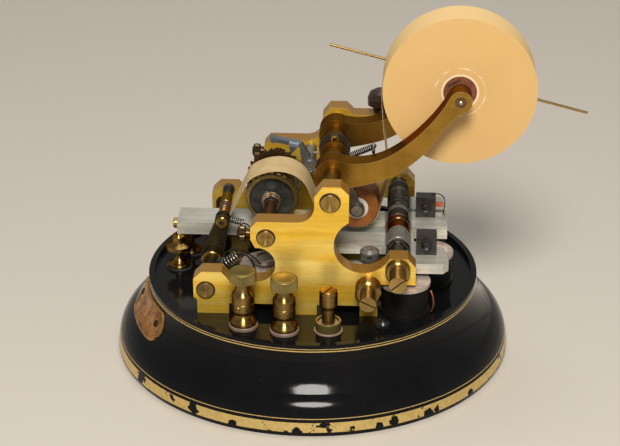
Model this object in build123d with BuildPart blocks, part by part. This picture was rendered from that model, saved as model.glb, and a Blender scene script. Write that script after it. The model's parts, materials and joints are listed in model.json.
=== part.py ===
from build123d import *
from math import cos, pi, radians, sin, sqrt
import os

# Stock ticker: a printing telegraph on a round japanned base, two upright brass plates
# carrying the type wheels, levers and shafts, and a bracket above that holds the paper roll.
# Millimetres, +X right, +Y to the back, +Z up, origin at the centre of the base's underside.

# ---- driving dimensions -------------------------------------------------------------------
fixed_fit = 0.05  # radial gap of pieces that are fastened together
running_fit = 0.06  # radial gap of a bore that turns on its shaft

# base
rim_r = 91.8
rim_width = 3.0
rim_top = 44.2
rim_edge = 2.4  # height of the rim's outer edge
deck_drop = 3.0  # the deck below the rim
deck_thick = 5.0
skirt_spread = 18.2  # how far the foot stands out beyond the rim
shoulder_in = 9.0  # where the skirt's hollow curve ends, in from the foot
shoulder_z = 20.3
skirt_wall = 5.5
foot_band_top = 8.1
foot_edge = 2.6
foot_wall = 8.3  # the foot's edge round the cover
cover_thick = 1.6
cover_ledge = 2.5
cover_boss_r = 4.5
cover_screw_angles = (90, 210, 330)

# nameplate
nameplate_mid = 198.0  # degrees round from the right
nameplate_half = 15.0
nameplate_z = (22.5, 38.5)
nameplate_thick = 1.0
nameplate_gap = 0.1
nameplate_screw_r = 0.9

# plates
plate_thick = 10.6
front_plate_y = -52.3  # front face of the front plate
rear_plate_y = 59.6  # front face of the rear plate
plate_foot_gap = 6.1  # the plate's lower edge above the deck
front_left_foot = (-59.9, -42.8)
rear_left_foot = (-51.4, -42.8)  # narrower, to stand inside the rim
centre_foot_x = (-7.4, 4.6)
right_foot_x = (27.5, 37.0)
left_lug_x = -61.8
left_lug_z = 65.8
notch_x = -27.5
notch_z = 70.7
notch_r = 9.9
web_left_x = -30.8
web_top_z = 95.9
tower_x = (3.0, 21.2)
tower_z = 116.6
window_x = 28.9
window_z = 82.6
window_r = 15.6
right_lug_x = 57.0
right_lug_z = (60.3, 75.8)
lug_corner = 4.4
rear_arm_x = 43.5
rear_arm_z = (104.5, 112.3)

# shaft axes, each (x, z)
left_axis = (-55.2, 55.0)
type_axis = (-22.6, 86.6)
cross_axis = (11.3, 107.7)
right_axis = (47.5, 69.3)
stop_axis = (32.0, 58.7)
roller_axis = (24.5, 82.5)
reel_axis = (79.0, 151.4)
pawl_axis = (-3.7, 91.0)

# shaft radii
left_shaft_r = 4.0
type_shaft_r = 2.9
cross_shaft_r = 4.9
right_shaft_r = 3.2
roller_pin_r = 1.8
reel_axle_r = 3.2
pawl_stud_r = 1.8

# paper
tape_width = 21.2
tape_y = 8.1  # middle of the tape
tape_thick = 0.2
roll_r = 41.5
core_r = 9.0
paper_gap = 0.3
tape_drop = [(38.1, 133.3), (40.5, 111.3), (41.0, 96.1)]
tape_rise = [(0.7, 84.6), (-4.4, 95.9)]
tape_fall = [(-33.2, 98.7), (-37.6, 92.6)]
tape_tail = 23.3

# reel bracket
reel_front_arm_y = (-17.6, -6.4)
reel_rear_arm_y = (38.9, 50.1)
arm_upper = [(25.9, 115.1), (37.0, 117.6), (47.2, 123.5), (57.3, 132.3), (67.7, 144.6)]
arm_lower = [(31.8, 103.5), (42.1, 107.2), (53.1, 114.5), (63.5, 125.1), (70.5, 135.5)]
sleeve_collar_ys = (10.0, 23.5)
arm_hub_r = 9.5
arm_sleeve_r = 6.3
arm_tip_r = 6.2
bracket_screw_r = 1.2
bracket_screw_y = 17.0
rod_r = 0.7
rod_y = 23.8
rod_ends = ((8.3, 167.9), (150.4, 130.3))

# roller hanger
hanger_thick = 1.5
hanger_ring_r = 8.8
hanger_eye_r = 4.4

# turning pieces
wheel_r = 14.3
type_height = 0.5
type_count = 24
type_axial = 5.6
escape_r = 16.0
escape_teeth = 26
escape_y = (29.6, 32.9)
roller_r = 12.0
roller_hub_r = 4.0

# screws and nuts in the plates
bearing_r = 4.4
bearing_tip_r = 1.4
bearing_tip = 4.0
locknut_r = 6.6
locknut_thick = 5.6
pivot_head_r = 4.6
stop_screw_r = 2.6
stop_nut_r = 6.9
stop_nut_thick = 9.0
stop_head_r = 4.3
clamp_screw_r = 1.6
rear_knob_x = 36.2
rear_knob_y = rear_plate_y + plate_thick / 2
rear_knob_screw_r = 2.0

# levers on the right shaft
bar_z = (61.2, 68.5)
print_bar_x = (-76.3, 74.8)
print_bar_y = (3.6, 23.2)
type_bar_x = (5.7, 74.8)
type_arm_y = (-17.2, -1.4)
type_armature_y = (-40.0, -18.8)
shift_bar_y = (27.1, 43.9)
tip_screw_y = 10.3
lever_hub_r = 6.0
block_size = 11.0
block_height = 12.2
block_x = 62.8
block_screw_r = 1.2
block_pin_r = 1.3
print_block_y = (15.9, 23.2)
type_block_y = (-28.8, -21.5)
armature_top = 66.9
armature_x = 56.2
pad_reach = 5.0
pad_base_z = 69.3
pad_top_z = 70.1
tip_screw_r = 1.4
type_hub_y = (-24.3, -1.1)
shift_hub_y = (26.0, 52.9)
front_collar_y = (-41.4, -31.1)
washer_y = (-0.8, 3.4)
rear_collar_y = (53.2, 59.4)

# type shaft and pawl
wheel_sleeve_y = -12.0
pawl_y = (34.5, 39.0)
pawl_gap = 0.3

# magnets, each (x, y)
magnet_places = [(51.6, -43.0), (64.6, -6.5), (61.6, 35.7), (-25.3, -25.3), (-25.1, 30.2)]
core_radius = 5.0
coil_r = 12.6
cheek_r = 13.6
cheek_thick = 1.8
spool_tube_r = 6.2
coil_top = 58.8
core_top = 60.0

# stop pillar
pillar_place = (32.1, -24.3)
pillar_strip_z = 56.2

# rock shaft
rock_arm_y = (-9.1, -3.0)
rock_front_collar_y = (-17.6, -10.9)
rock_rear_collar_y = (32.7, 39.4)
guide_axis = (-49.7, 75.1)
guide_r = 3.0
guide_back_y = 35.4
lug_pin_axis = (-47.9, 61.2)

# binding posts and terminals, each (angle round the deck from the right, inset from the rim)
line_posts = [(242.9, 14.2), (260.5, 16.6)]
post_terminal = (279.3, 18.6)
side_terminals = [(177.5, 13.2), (162.9, 14.5)]
dome_plug = (302.7, 14.5)
post_r = 4.8
post_flange_r = 7.4
post_washer = 1.0
post_hole_r = 1.25
post_hole_z = 55.7
post_top = 64.0
thumb_r = 7.2
stem_r = 2.0
thumb_screw_r = 1.6
thumb_gap = 0.15

screw_r = 2.0
screw_head_r = 3.6
screw_head = 2.0

base_r = rim_r + skirt_spread
cover_r = base_r - foot_wall
deck_z = rim_top - deck_drop
cove_top = rim_top - rim_edge
cove_width = skirt_spread - shoulder_in
cove_r = (cove_width**2 + (cove_top - shoulder_z) ** 2) / (2 * cove_width)
cove_centre = (rim_r + cove_r, cove_top)  # the skirt's hollow curve starts upright at the rim
rim_inner_r = rim_r - rim_width
deck_r = rim_inner_r - 0.6
cover_screw_ring = rim_inner_r - cover_boss_r
half_tape = tape_width / 2
rod_rise = (rod_ends[1][0] - rod_ends[0][0], rod_ends[1][1] - rod_ends[0][1])
rod_length = sqrt(rod_rise[0] ** 2 + rod_rise[1] ** 2)
rod_place = Plane(
    origin=(rod_ends[0][0], rod_y, rod_ends[0][1]),
    x_dir=(0, 1, 0),
    z_dir=(rod_rise[0], 0, rod_rise[1]),
)
plate_inner_front = front_plate_y + plate_thick
plate_outer_rear = rear_plate_y + plate_thick


# ---- helpers --------------------------------------------------------------------------------
def upright(y):
    """A plane at depth y for sketches in (x, z). Extrusions of it run to the front."""
    return Plane.XZ.offset(-y)


def facing_front(axis, y):
    """A place on a shaft axis whose z direction points to the front."""
    return Plane(origin=(axis[0], y, axis[1]), x_dir=(1, 0, 0), z_dir=(0, -1, 0))


def facing_back(axis, y):
    return Plane(origin=(axis[0], y, axis[1]), x_dir=(1, 0, 0), z_dir=(0, 1, 0))


def facing_up(spot, z):
    return Plane(origin=(spot[0], spot[1], z))


def facing_down(spot, z):
    return Plane(origin=(spot[0], spot[1], z), x_dir=(1, 0, 0), z_dir=(0, 0, -1))


def turn(place, steps, mode=Mode.ADD):
    """Turned work out from a place. A step is (radius, length) or (radius, length, end radius)."""
    outline = [(0, 0)]
    reach = 0
    for radius, length, *end in steps:
        if outline[-1] != (radius, reach):
            outline.append((radius, reach))
        reach += length
        outline.append((end[0] if end else radius, reach))
    if outline[-1][0] > 0:
        outline.append((0, reach))
    side = Plane(origin=place.origin, x_dir=place.x_dir, z_dir=-place.y_dir)
    with BuildSketch(side) as profile:
        with BuildLine():
            Polyline(*outline, close=True)
        make_face()
    revolve(profile.sketch, axis=Axis(place.origin, place.z_dir), mode=mode)


def bore(place, radius, depth):
    turn(place, [(radius, depth)], mode=Mode.SUBTRACT)


def cove_point(height, depth=0.0):
    """A point (radius, height) on the skirt's hollow curve, or the given depth inside it."""
    reach = cove_r + depth
    return (cove_centre[0] - sqrt(reach**2 - (cove_centre[1] - height) ** 2), height)


def skirt_place(angle, height, lift):
    """A place on the skirt that faces straight out of it, lifted off the casting."""
    radius, z = cove_point(height)
    out_r = (cove_centre[0] - radius) / cove_r
    out_z = (cove_centre[1] - z) / cove_r
    round_to = (cos(radians(angle)), sin(radians(angle)))
    radius += out_r * lift
    return Plane(
        origin=(radius * round_to[0], radius * round_to[1], z + out_z * lift),
        x_dir=(-round_to[1], round_to[0], 0),
        z_dir=(out_r * round_to[0], out_r * round_to[1], out_z),
    )


def on_roller(angle, radius):
    """A point round the feed roller's axis, measured up from the right."""
    return (
        roller_axis[0] + radius * cos(radians(angle)),
        roller_axis[1] + radius * sin(radians(angle)),
    )


def block(x, y, z, mode=Mode.ADD):
    """A box from its three (low, high) pairs."""
    with BuildSketch(Plane.XY.offset(z[0])) as outline:
        with Locations(((x[0] + x[1]) / 2, (y[0] + y[1]) / 2)):
            Rectangle(x[1] - x[0], y[1] - y[0])
    extrude(outline.sketch, amount=z[1] - z[0], mode=mode)


def slot(place, width, depth, length, turned=0):
    """A screwdriver slot cut down from a place on the screw's face."""
    with BuildSketch(place) as outline:
        Rectangle(length, width, rotation=turned)
    extrude(outline.sketch, amount=-depth, mode=Mode.SUBTRACT)


def finish(piece, name):
    piece.part.label = name
    export_step(piece.part, f"parts/{name}.step")


def deck_spot(angle, inset):
    """A place (x, y) on the deck from its angle and its distance in from the rim."""
    reach = rim_inner_r - inset
    return (reach * cos(radians(angle)), reach * sin(radians(angle)))


os.makedirs("parts", exist_ok=True)

# ---- base -----------------------------------------------------------------------------------
post_places = [deck_spot(*place) for place in line_posts]
left_terminals = [deck_spot(*place) for place in side_terminals]
terminal_post = deck_spot(*post_terminal)
plug_place = deck_spot(*dome_plug)
post_spots = post_places + [terminal_post]
foot_spots = [
    (sum(foot) / 2, y + plate_thick / 2)
    for y, left_foot in ((front_plate_y, front_left_foot), (rear_plate_y, rear_left_foot))
    for foot in (left_foot, centre_foot_x, right_foot_x)
]
cover_screw_spots = [
    (cover_screw_ring * cos(radians(a)), cover_screw_ring * sin(radians(a)))
    for a in cover_screw_angles
]
insulator_r = stem_r + 1.0
nameplate_screw_spots = [
    (nameplate_mid + side * (nameplate_half - 1.6), height)
    for side in (-1, 1)
    for height in (nameplate_z[0] + 2.0, nameplate_z[1] - 2.0)
]

with BuildPart() as base:
    with BuildSketch(Plane.XZ) as section:
        with BuildLine():
            Polyline((0, deck_z), (deck_r, deck_z), (rim_inner_r, rim_top), (rim_r, rim_top), (rim_r, cove_top))
            ThreePointArc(
                (rim_r, cove_top),
                cove_point((cove_top + shoulder_z) / 2),
                cove_point(shoulder_z),
            )
            ThreePointArc(
                cove_point(shoulder_z),
                (base_r - 3.2, shoulder_z - 5.4),
                (base_r - 0.6, foot_band_top),
            )
            Polyline(
                (base_r - 0.6, foot_band_top),
                (base_r, foot_edge),
                (base_r - 0.8, 0),
                (cover_r + fixed_fit, 0),
                (cover_r + fixed_fit, cover_thick),
                (cover_r - cover_ledge, cover_thick),
                (cover_r - cover_ledge, foot_band_top),
            )
            ThreePointArc(
                (cover_r - cover_ledge, foot_band_top),
                cove_point((shoulder_z + deck_z) / 2 - deck_thick, skirt_wall),
                cove_point(deck_z - deck_thick, skirt_wall),
            )
            Line(cove_point(deck_z - deck_thick, skirt_wall), (0, deck_z - deck_thick))
            Line((0, deck_z - deck_thick), (0, deck_z))
        make_face()
    revolve(axis=Axis.Z)
    for spot in cover_screw_spots:
        turn(facing_up(spot, cover_thick), [(cover_boss_r, deck_z - deck_thick - cover_thick)])
        bore(facing_up(spot, cover_thick), screw_r + fixed_fit, 10)
    for spot in foot_spots:
        bore(facing_up(spot, deck_z - deck_thick), screw_r + fixed_fit, deck_thick)
    for spot in post_spots + left_terminals:
        bore(facing_up(spot, deck_z - deck_thick), insulator_r + fixed_fit, deck_thick)
    for spot in magnet_places + [plug_place]:
        bore(facing_up(spot, deck_z - deck_thick), screw_r + fixed_fit, deck_thick)
    for angle, height in nameplate_screw_spots:
        bore(skirt_place(angle, height, -3.0), nameplate_screw_r + fixed_fit, 4.0)
finish(base, "base")

with BuildPart() as base_cover:
    turn(facing_up((0, 0), 0), [(cover_r, cover_thick)])
    for spot in cover_screw_spots:
        bore(facing_up(spot, 0), screw_r + fixed_fit, cover_thick)
        turn(facing_up(spot, 0), [(screw_head_r, 1.2, screw_r)], mode=Mode.SUBTRACT)
finish(base_cover, "base_cover")

with BuildPart() as base_screws:
    for spot in cover_screw_spots:
        turn(
            facing_up(spot, 0.15),
            [(screw_head_r - 0.25, 1.0, screw_r - 0.05), (screw_r - 0.05, 8.5)],
        )
    for spot in foot_spots:
        turn(
            facing_up(spot, deck_z - deck_thick - screw_head),
            [(screw_head_r, screw_head), (screw_r, deck_thick + 6.0)],
        )
    for spot in magnet_places:
        turn(
            facing_up(spot, deck_z - deck_thick - screw_head),
            [(screw_head_r, screw_head), (screw_r, deck_thick + 8.0)],
        )
finish(base_screws, "base_screws")

# ---- nameplate on the left skirt ---------------------------------------------------------------
nameplate_top = nameplate_gap + nameplate_thick
edge_angle = radians(nameplate_mid - nameplate_half)
nameplate_edge = Plane(
    origin=(0, 0, 0),
    x_dir=(cos(edge_angle), sin(edge_angle), 0),
    z_dir=(sin(edge_angle), -cos(edge_angle), 0),
)
with BuildPart() as base_nameplate:
    with BuildSketch(nameplate_edge) as section:
        with BuildLine():
            heights = (nameplate_z[0], sum(nameplate_z) / 2, nameplate_z[1])
            under = [cove_point(z, -nameplate_gap) for z in heights]
            over = [cove_point(z, -nameplate_top) for z in heights]
            ThreePointArc(*under)
            Line(under[2], over[2])
            ThreePointArc(*reversed(over))
            Line(over[0], under[0])
        make_face()
    revolve(axis=Axis.Z, revolution_arc=2 * nameplate_half)
    for angle, height in nameplate_screw_spots:
        bore(skirt_place(angle, height, -1.0), nameplate_screw_r + fixed_fit, 4.0)
finish(base_nameplate, "base_nameplate")

with BuildPart() as nameplate_screws:
    for angle, height in nameplate_screw_spots:
        turn(
            skirt_place(angle, height, -2.8),
            [(nameplate_screw_r, 2.8 + nameplate_top + 0.1), (1.9, 0.9, 1.2)],
        )
finish(nameplate_screws, "nameplate_screws")

# ---- the two upright plates --------------------------------------------------------------------
foot_top = deck_z + plate_foot_gap
window_lug_x = window_x + sqrt(window_r**2 - (window_z - right_lug_z[1]) ** 2)
window_tower_z = window_z + sqrt(window_r**2 - (window_x - tower_x[1]) ** 2)
window_low_x = window_x - 9.0
window_low_z = window_z - sqrt(window_r**2 - (window_x - window_low_x) ** 2)
notch_lip_x = notch_x - 0.9
notch_lip_z = notch_z + sqrt(notch_r**2 - (notch_x - notch_lip_x) ** 2)


def plate_face(left_foot):
    """The outline that both plates share, standing on a left foot of the given width."""
    with BuildSketch() as outline:
        with BuildLine():
            Polyline(
                (notch_x, notch_z - notch_r),
                (front_left_foot[1] + 0.4, notch_z - notch_r),
                (front_left_foot[1] - 3.7, left_lug_z),
                (left_lug_x + lug_corner, left_lug_z),
                (left_lug_x, left_lug_z - lug_corner),
                (left_lug_x, deck_z + 9.5),
                (left_foot[0], deck_z + 7.8),
                (left_foot[0], deck_z),
                (left_foot[1], deck_z),
                (left_foot[1], foot_top),
                (centre_foot_x[0], foot_top),
                (centre_foot_x[0], deck_z),
                (centre_foot_x[1], deck_z),
                (centre_foot_x[1], foot_top),
                (right_foot_x[0], foot_top),
                (right_foot_x[0], deck_z),
                (right_foot_x[1], deck_z),
                (right_foot_x[1], right_lug_z[0]),
                (right_lug_x, right_lug_z[0]),
                (right_lug_x, right_lug_z[1] - lug_corner - 0.8),
                (right_lug_x - lug_corner, right_lug_z[1]),
                (window_lug_x, right_lug_z[1]),
            )
            ThreePointArc(
                (window_lug_x, right_lug_z[1]),
                (window_low_x, window_low_z),
                (tower_x[1], window_tower_z),
            )
            Polyline(
                (tower_x[1], window_tower_z),
                (tower_x[1], tower_z - lug_corner),
                (tower_x[1] - lug_corner, tower_z),
                (tower_x[0] + lug_corner, tower_z),
                (tower_x[0], tower_z - lug_corner - 1.4),
                (tower_x[0], web_top_z),
                (web_left_x + 3.3, web_top_z),
                (web_left_x, web_top_z - 3.7),
                (web_left_x, notch_z + notch_r + 4.8),
                (notch_lip_x, notch_lip_z),
            )
            ThreePointArc(
                (notch_lip_x, notch_lip_z),
                (notch_x + notch_r, notch_z),
                (notch_x, notch_z - notch_r),
            )
        make_face()
        inner_corner = outline.vertices().sort_by_distance((tower_x[0], web_top_z, 0))[0]
        fillet(inner_corner, 9.0)
    return outline.sketch


def plate_bores(y):
    """The holes that a plate whose front face is at y has for the shafts and screws."""
    back = y + plate_thick
    bore(facing_front(left_axis, back), left_shaft_r + 0.5 + fixed_fit, plate_thick)
    bore(facing_front(type_axis, back), bearing_r + fixed_fit, plate_thick)
    bore(facing_front(cross_axis, back), cross_shaft_r + fixed_fit, plate_thick)
    bore(facing_front(right_axis, back), right_shaft_r + fixed_fit, plate_thick)
    bore(facing_front(stop_axis, back), stop_screw_r + fixed_fit, plate_thick)
    for spot in foot_spots:
        if spot[1] == y + plate_thick / 2:
            bore(facing_up(spot, deck_z), screw_r + fixed_fit, 7.0)
    clamp = Plane(
        origin=(web_left_x, y + plate_thick / 2, type_axis[1]), x_dir=(0, 1, 0), z_dir=(1, 0, 0)
    )
    bore(clamp, clamp_screw_r + fixed_fit, type_axis[0] - web_left_x)


with BuildPart() as front_plate:
    with BuildSketch(upright(front_plate_y + plate_thick)):
        add(plate_face(front_left_foot))
    extrude(amount=plate_thick)
    plate_bores(front_plate_y)
    bore(facing_front(lug_pin_axis, plate_inner_front), 1.5 + fixed_fit, 4.1)
finish(front_plate, "front_plate")

with BuildPart() as rear_plate:
    with BuildSketch(upright(rear_plate_y + plate_thick)):
        add(plate_face(rear_left_foot))
        with BuildLine():
            Polyline(
                (tower_x[1] - 1.0, rear_arm_z[0]),
                (rear_arm_x - 3.0, rear_arm_z[0]),
                (rear_arm_x, rear_arm_z[0] + 3.0),
                (rear_arm_x, rear_arm_z[1]),
                (tower_x[1] - 1.0, rear_arm_z[1]),
                close=True,
            )
        make_face()
    extrude(amount=plate_thick)
    plate_bores(rear_plate_y)
    bore(facing_down((rear_knob_x, rear_knob_y), rear_arm_z[1]), rear_knob_screw_r + fixed_fit, 6.0)
    bore(facing_back(pawl_axis, rear_plate_y), pawl_stud_r + fixed_fit, 5.0)
finish(rear_plate, "rear_plate")

# ---- shafts and screws in the plates -------------------------------------------------------------
with BuildPart() as cross_shaft:
    turn(
        facing_back(cross_axis, front_plate_y + 1.5),
        [(cross_shaft_r, plate_outer_rear - front_plate_y - 3.0)],
    )
finish(cross_shaft, "cross_shaft")

with BuildPart() as right_shaft:
    turn(
        facing_back(right_axis, plate_inner_front - 4.0),
        [(right_shaft_r, rear_plate_y - plate_inner_front + 8.0)],
    )
finish(right_shaft, "right_shaft")

with BuildPart() as plate_screws:
    for place, head in (
        (facing_front(right_axis, plate_inner_front - 4.0 - fixed_fit), 17.2),
        (facing_back(right_axis, rear_plate_y + 4.0 + fixed_fit), 10.0),
    ):
        shank = plate_thick - 4.0 + locknut_thick
        turn(place, [(right_shaft_r, shank), (pivot_head_r, head - 4.5)])
        slot(place.offset(shank + head - 4.5), 0.9, 1.2, 12.0, turned=40)
    for place, head in (
        (facing_front(stop_axis, plate_inner_front + 2.0), 11.2),
        (facing_back(stop_axis, rear_plate_y - 2.0), 6.7),
    ):
        shank = plate_thick + 2.0 + stop_nut_thick
        turn(place, [(stop_screw_r, shank), (stop_head_r, head)])
        slot(place.offset(shank + head), 0.9, 1.2, 12.0, turned=-25)
finish(plate_screws, "plate_screws")

with BuildPart() as plate_locknuts:
    for place in (
        facing_front(right_axis, front_plate_y),
        facing_back(right_axis, plate_outer_rear),
    ):
        turn(place, [(locknut_r, locknut_thick - 0.8), (locknut_r, 0.8, locknut_r - 0.8)])
        bore(place, right_shaft_r + fixed_fit, locknut_thick)
    for place in (facing_front(stop_axis, front_plate_y), facing_back(stop_axis, plate_outer_rear)):
        turn(place, [(stop_nut_r, stop_nut_thick - 1.0), (stop_nut_r, 1.0, stop_nut_r - 1.0)])
        bore(place, stop_screw_r + fixed_fit, stop_nut_thick)
finish(plate_locknuts, "plate_locknuts")

with BuildPart() as type_bearing_screws:
    head = plate_thick + 0.6
    for tip, outer in (
        (facing_back(type_axis, front_plate_y - 0.6), facing_front(type_axis, front_plate_y - 0.6)),
        (facing_front(type_axis, plate_outer_rear + 0.6), facing_back(type_axis, plate_outer_rear + 0.6)),
    ):
        turn(tip, [(bearing_r, head), (bearing_tip_r, bearing_tip)])
        slot(outer, 0.9, 1.2, 12.0, turned=75)
finish(type_bearing_screws, "type_bearing_screws")

# ---- clamp screws and the rear knob --------------------------------------------------------------
clamp_reach = type_axis[0] - bearing_r - web_left_x - fixed_fit
for name, y in (
    ("front_clamp_screw", front_plate_y + plate_thick / 2),
    ("rear_clamp_screw", rear_plate_y + plate_thick / 2),
):
    with BuildPart() as clamp_screw:
        tip = Plane(
            origin=(web_left_x + clamp_reach, y, type_axis[1]), x_dir=(0, 1, 0), z_dir=(-1, 0, 0)
        )
        turn(
            tip,
            [
                (clamp_screw_r, clamp_reach + 0.5),
                (2.6, 2.2),
                (3.9, 1.0, 4.2),
                (4.2, 2.4),
                (4.2, 1.2, 2.6),
            ],
        )
    finish(clamp_screw, name)

with BuildPart() as rear_knob:
    turn(
        facing_up((rear_knob_x, rear_knob_y), rear_arm_z[1] - 5.5),
        [
            (rear_knob_screw_r, 5.8),
            (4.0, 2.6, 4.4),
            (4.4, 2.0, 7.0),
            (7.4, 4.0, 7.5),
            (7.5, 3.4, 6.2),
            (6.2, 1.6, 3.4),
        ],
    )
finish(rear_knob, "rear_knob")

# ---- bracket that carries the paper roll ------------------------------------------------------------
arm_faces = (reel_front_arm_y, reel_rear_arm_y)
with BuildSketch() as reel_arm:
    with BuildLine():
        upper = Spline(
            (cross_axis[0] + 4.5, cross_axis[1] + 8.2),
            *arm_upper,
            (reel_axis[0] - 5.4, reel_axis[1] + 3.2),
        )
        lower = Spline(
            (cross_axis[0] + 5.5, cross_axis[1] - 7.4),
            *arm_lower,
            (reel_axis[0] + 1.5, reel_axis[1] - 5.8),
        )
        Line(upper @ 1, lower @ 1)
        Line(upper @ 0, lower @ 0)
    make_face()
    with Locations(cross_axis):
        Circle(arm_hub_r)
    with Locations(reel_axis):
        Circle(arm_tip_r)

with BuildPart() as reel_bracket:
    for y in arm_faces:
        with BuildSketch(upright(y[1])):
            add(reel_arm.sketch)
        extrude(amount=y[1] - y[0])
    turn(
        facing_back(cross_axis, reel_front_arm_y[0]),
        [(arm_sleeve_r, reel_rear_arm_y[1] - reel_front_arm_y[0])],
    )
    for y in sleeve_collar_ys:
        turn(facing_back(cross_axis, y), [(arm_hub_r - 1.6, 2.5)])
    length = reel_rear_arm_y[1] - reel_front_arm_y[0]
    bore(facing_back(cross_axis, reel_front_arm_y[0]), cross_shaft_r + fixed_fit, length)
    bore(facing_back(reel_axis, reel_front_arm_y[0]), reel_axle_r + fixed_fit, length)
    bore(
        facing_up((cross_axis[0], bracket_screw_y), cross_axis[1]),
        bracket_screw_r + fixed_fit,
        arm_hub_r,
    )
finish(reel_bracket, "reel_bracket")

with BuildPart() as bracket_set_screw:
    stub = cross_axis[1] + cross_shaft_r + 0.1
    reach = arm_sleeve_r - cross_shaft_r
    turn(
        facing_up((cross_axis[0], bracket_screw_y), stub),
        [(bracket_screw_r, reach + 0.3), (2.2, 2.2), (2.2, 0.5, 1.7)],
    )
    slot(facing_up((cross_axis[0], bracket_screw_y), stub + reach + 3.0), 0.6, 0.8, 6.0, turned=20)
finish(bracket_set_screw, "bracket_set_screw")

with BuildPart() as reel_axle:
    turn(
        facing_back(reel_axis, reel_front_arm_y[0] - 3.2),
        [
            (3.4, 0.8, 4.4),
            (4.4, 2.3),
            (reel_axle_r, reel_rear_arm_y[1] - reel_front_arm_y[0] + 1.1),
        ],
    )
    bore(rod_place, rod_r + fixed_fit, rod_length)
finish(reel_axle, "reel_axle")

with BuildPart() as reel_axle_fittings:
    turn(facing_back(reel_axis, reel_rear_arm_y[1] + 0.1), [(5.2, 2.6), (5.2, 0.8, 4.2)])
    bore(facing_back(reel_axis, reel_rear_arm_y[1]), reel_axle_r + fixed_fit, 1.2)
    turn(facing_back(reel_axis, rod_y + 1.6), [(5.0, reel_rear_arm_y[0] - rod_y - 1.7)])
    bore(facing_back(reel_axis, rod_y), reel_axle_r + fixed_fit, 20.0)
finish(reel_axle_fittings, "reel_axle_fittings")

with BuildPart() as retaining_rod:
    turn(rod_place, [(rod_r, rod_length)])
finish(retaining_rod, "retaining_rod")

# ---- paper ------------------------------------------------------------------------------------------
paper_front = tape_y - half_tape
with BuildPart() as roll_core:
    turn(
        facing_back(reel_axis, paper_front - 0.6),
        [(core_r - 1.5, 0.6), (core_r, tape_width), (core_r - 1.5, 0.6)],
    )
    bore(facing_back(reel_axis, paper_front - 1.0), reel_axle_r + running_fit, tape_width + 2.0)
finish(roll_core, "roll_core")

with BuildPart() as paper_roll:
    turn(facing_back(reel_axis, paper_front), [(roll_r, tape_width)])
    bore(facing_back(reel_axis, paper_front), core_r + fixed_fit, tape_width)
finish(paper_roll, "paper_roll")

wrap_r = roller_r + paper_gap
wrap_start = -15.0
wrap_end = -117.0
with BuildLine() as tape_path:
    drop = Spline(
        (reel_axis[0] - roll_r - paper_gap, reel_axis[1]),
        *tape_drop,
        on_roller(wrap_start, wrap_r),
        tangents=[(0, -1), (sin(radians(wrap_start)), -cos(radians(wrap_start)))],
    )
    wrap = ThreePointArc(
        drop @ 1, on_roller((wrap_start + wrap_end) / 2, wrap_r), on_roller(wrap_end, wrap_r)
    )
    rise = Line(wrap @ 1, wrap @ 1 + (wrap % 1) * 12.5)
    over = Spline(
        rise @ 1,
        *tape_rise,
        (type_axis[0] + 2.2, type_axis[1] + wheel_r + 2.1),
        *tape_fall,
        tangents=[rise % 1, (-0.43, -0.9)],
    )
    Line(over @ 1, over @ 1 + (over % 1) * tape_tail)
tape_steps = 60
near_side = [tape_path.wires()[0] @ (i / tape_steps) for i in range(tape_steps + 1)]
far_side = [
    point + (tape_path.wires()[0] % (i / tape_steps)).rotate(Axis.Z, -90) * tape_thick
    for i, point in enumerate(near_side)
]

with BuildPart() as paper_tape:
    with BuildSketch(upright(tape_y + half_tape)):
        with BuildLine():
            Spline(*near_side)
            Spline(*far_side)
            Line(near_side[0], far_side[0])
            Line(near_side[-1], far_side[-1])
        make_face()
    extrude(amount=tape_width)
finish(paper_tape, "paper_tape")

# ---- feed roller on its hanger ----------------------------------------------------------------------
with BuildPart() as feed_roller:
    turn(
        facing_back(roller_axis, paper_front - 1.0),
        [(roller_r - 0.8, 0.8, roller_r), (roller_r, tape_width + 0.4), (roller_r, 0.8, roller_r - 0.8)],
    )
    bore(facing_back(roller_axis, paper_front - 1.0), roller_hub_r + fixed_fit, tape_width + 2.0)
finish(feed_roller, "feed_roller")

with BuildPart() as feed_roller_hub:
    turn(facing_back(roller_axis, paper_front - 1.6), [(roller_hub_r, tape_width + 3.2)])
    bore(facing_back(roller_axis, paper_front - 1.6), roller_pin_r + running_fit, tape_width + 3.2)
finish(feed_roller_hub, "feed_roller_hub")

hanger_ys = (
    (paper_front - 1.8 - hanger_thick, paper_front - 1.8),
    (tape_y + half_tape + 1.8, tape_y + half_tape + 1.8 + hanger_thick),
)
with BuildPart() as roller_hanger:
    for y in hanger_ys:
        with BuildSketch(upright(y[1])):
            with BuildLine():
                Polyline(
                    (cross_axis[0] + 1.0, cross_axis[1] - hanger_ring_r + 0.6),
                    (roller_axis[0] - 4.4, roller_axis[1] - 1.0),
                    (roller_axis[0] + 1.6, roller_axis[1] + 4.1),
                    (cross_axis[0] + 7.8, cross_axis[1] - 3.0),
                    close=True,
                )
            make_face()
            with Locations(cross_axis):
                Circle(hanger_ring_r)
            with Locations(roller_axis):
                Circle(hanger_eye_r)
        extrude(amount=y[1] - y[0])
        bore(facing_back(cross_axis, y[0]), arm_sleeve_r + fixed_fit, hanger_thick)
        bore(facing_back(roller_axis, y[0]), roller_pin_r + fixed_fit, hanger_thick)
finish(roller_hanger, "roller_hanger")

with BuildPart() as feed_roller_pin:
    turn(
        facing_back(roller_axis, hanger_ys[0][0] - 1.8),
        [(3.0, 1.7), (roller_pin_r, hanger_ys[1][1] - hanger_ys[0][0] + 1.6)],
    )
    slot(facing_front(roller_axis, hanger_ys[0][0] - 1.8), 0.6, 0.7, 7.0, turned=55)
finish(feed_roller_pin, "feed_roller_pin")

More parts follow.
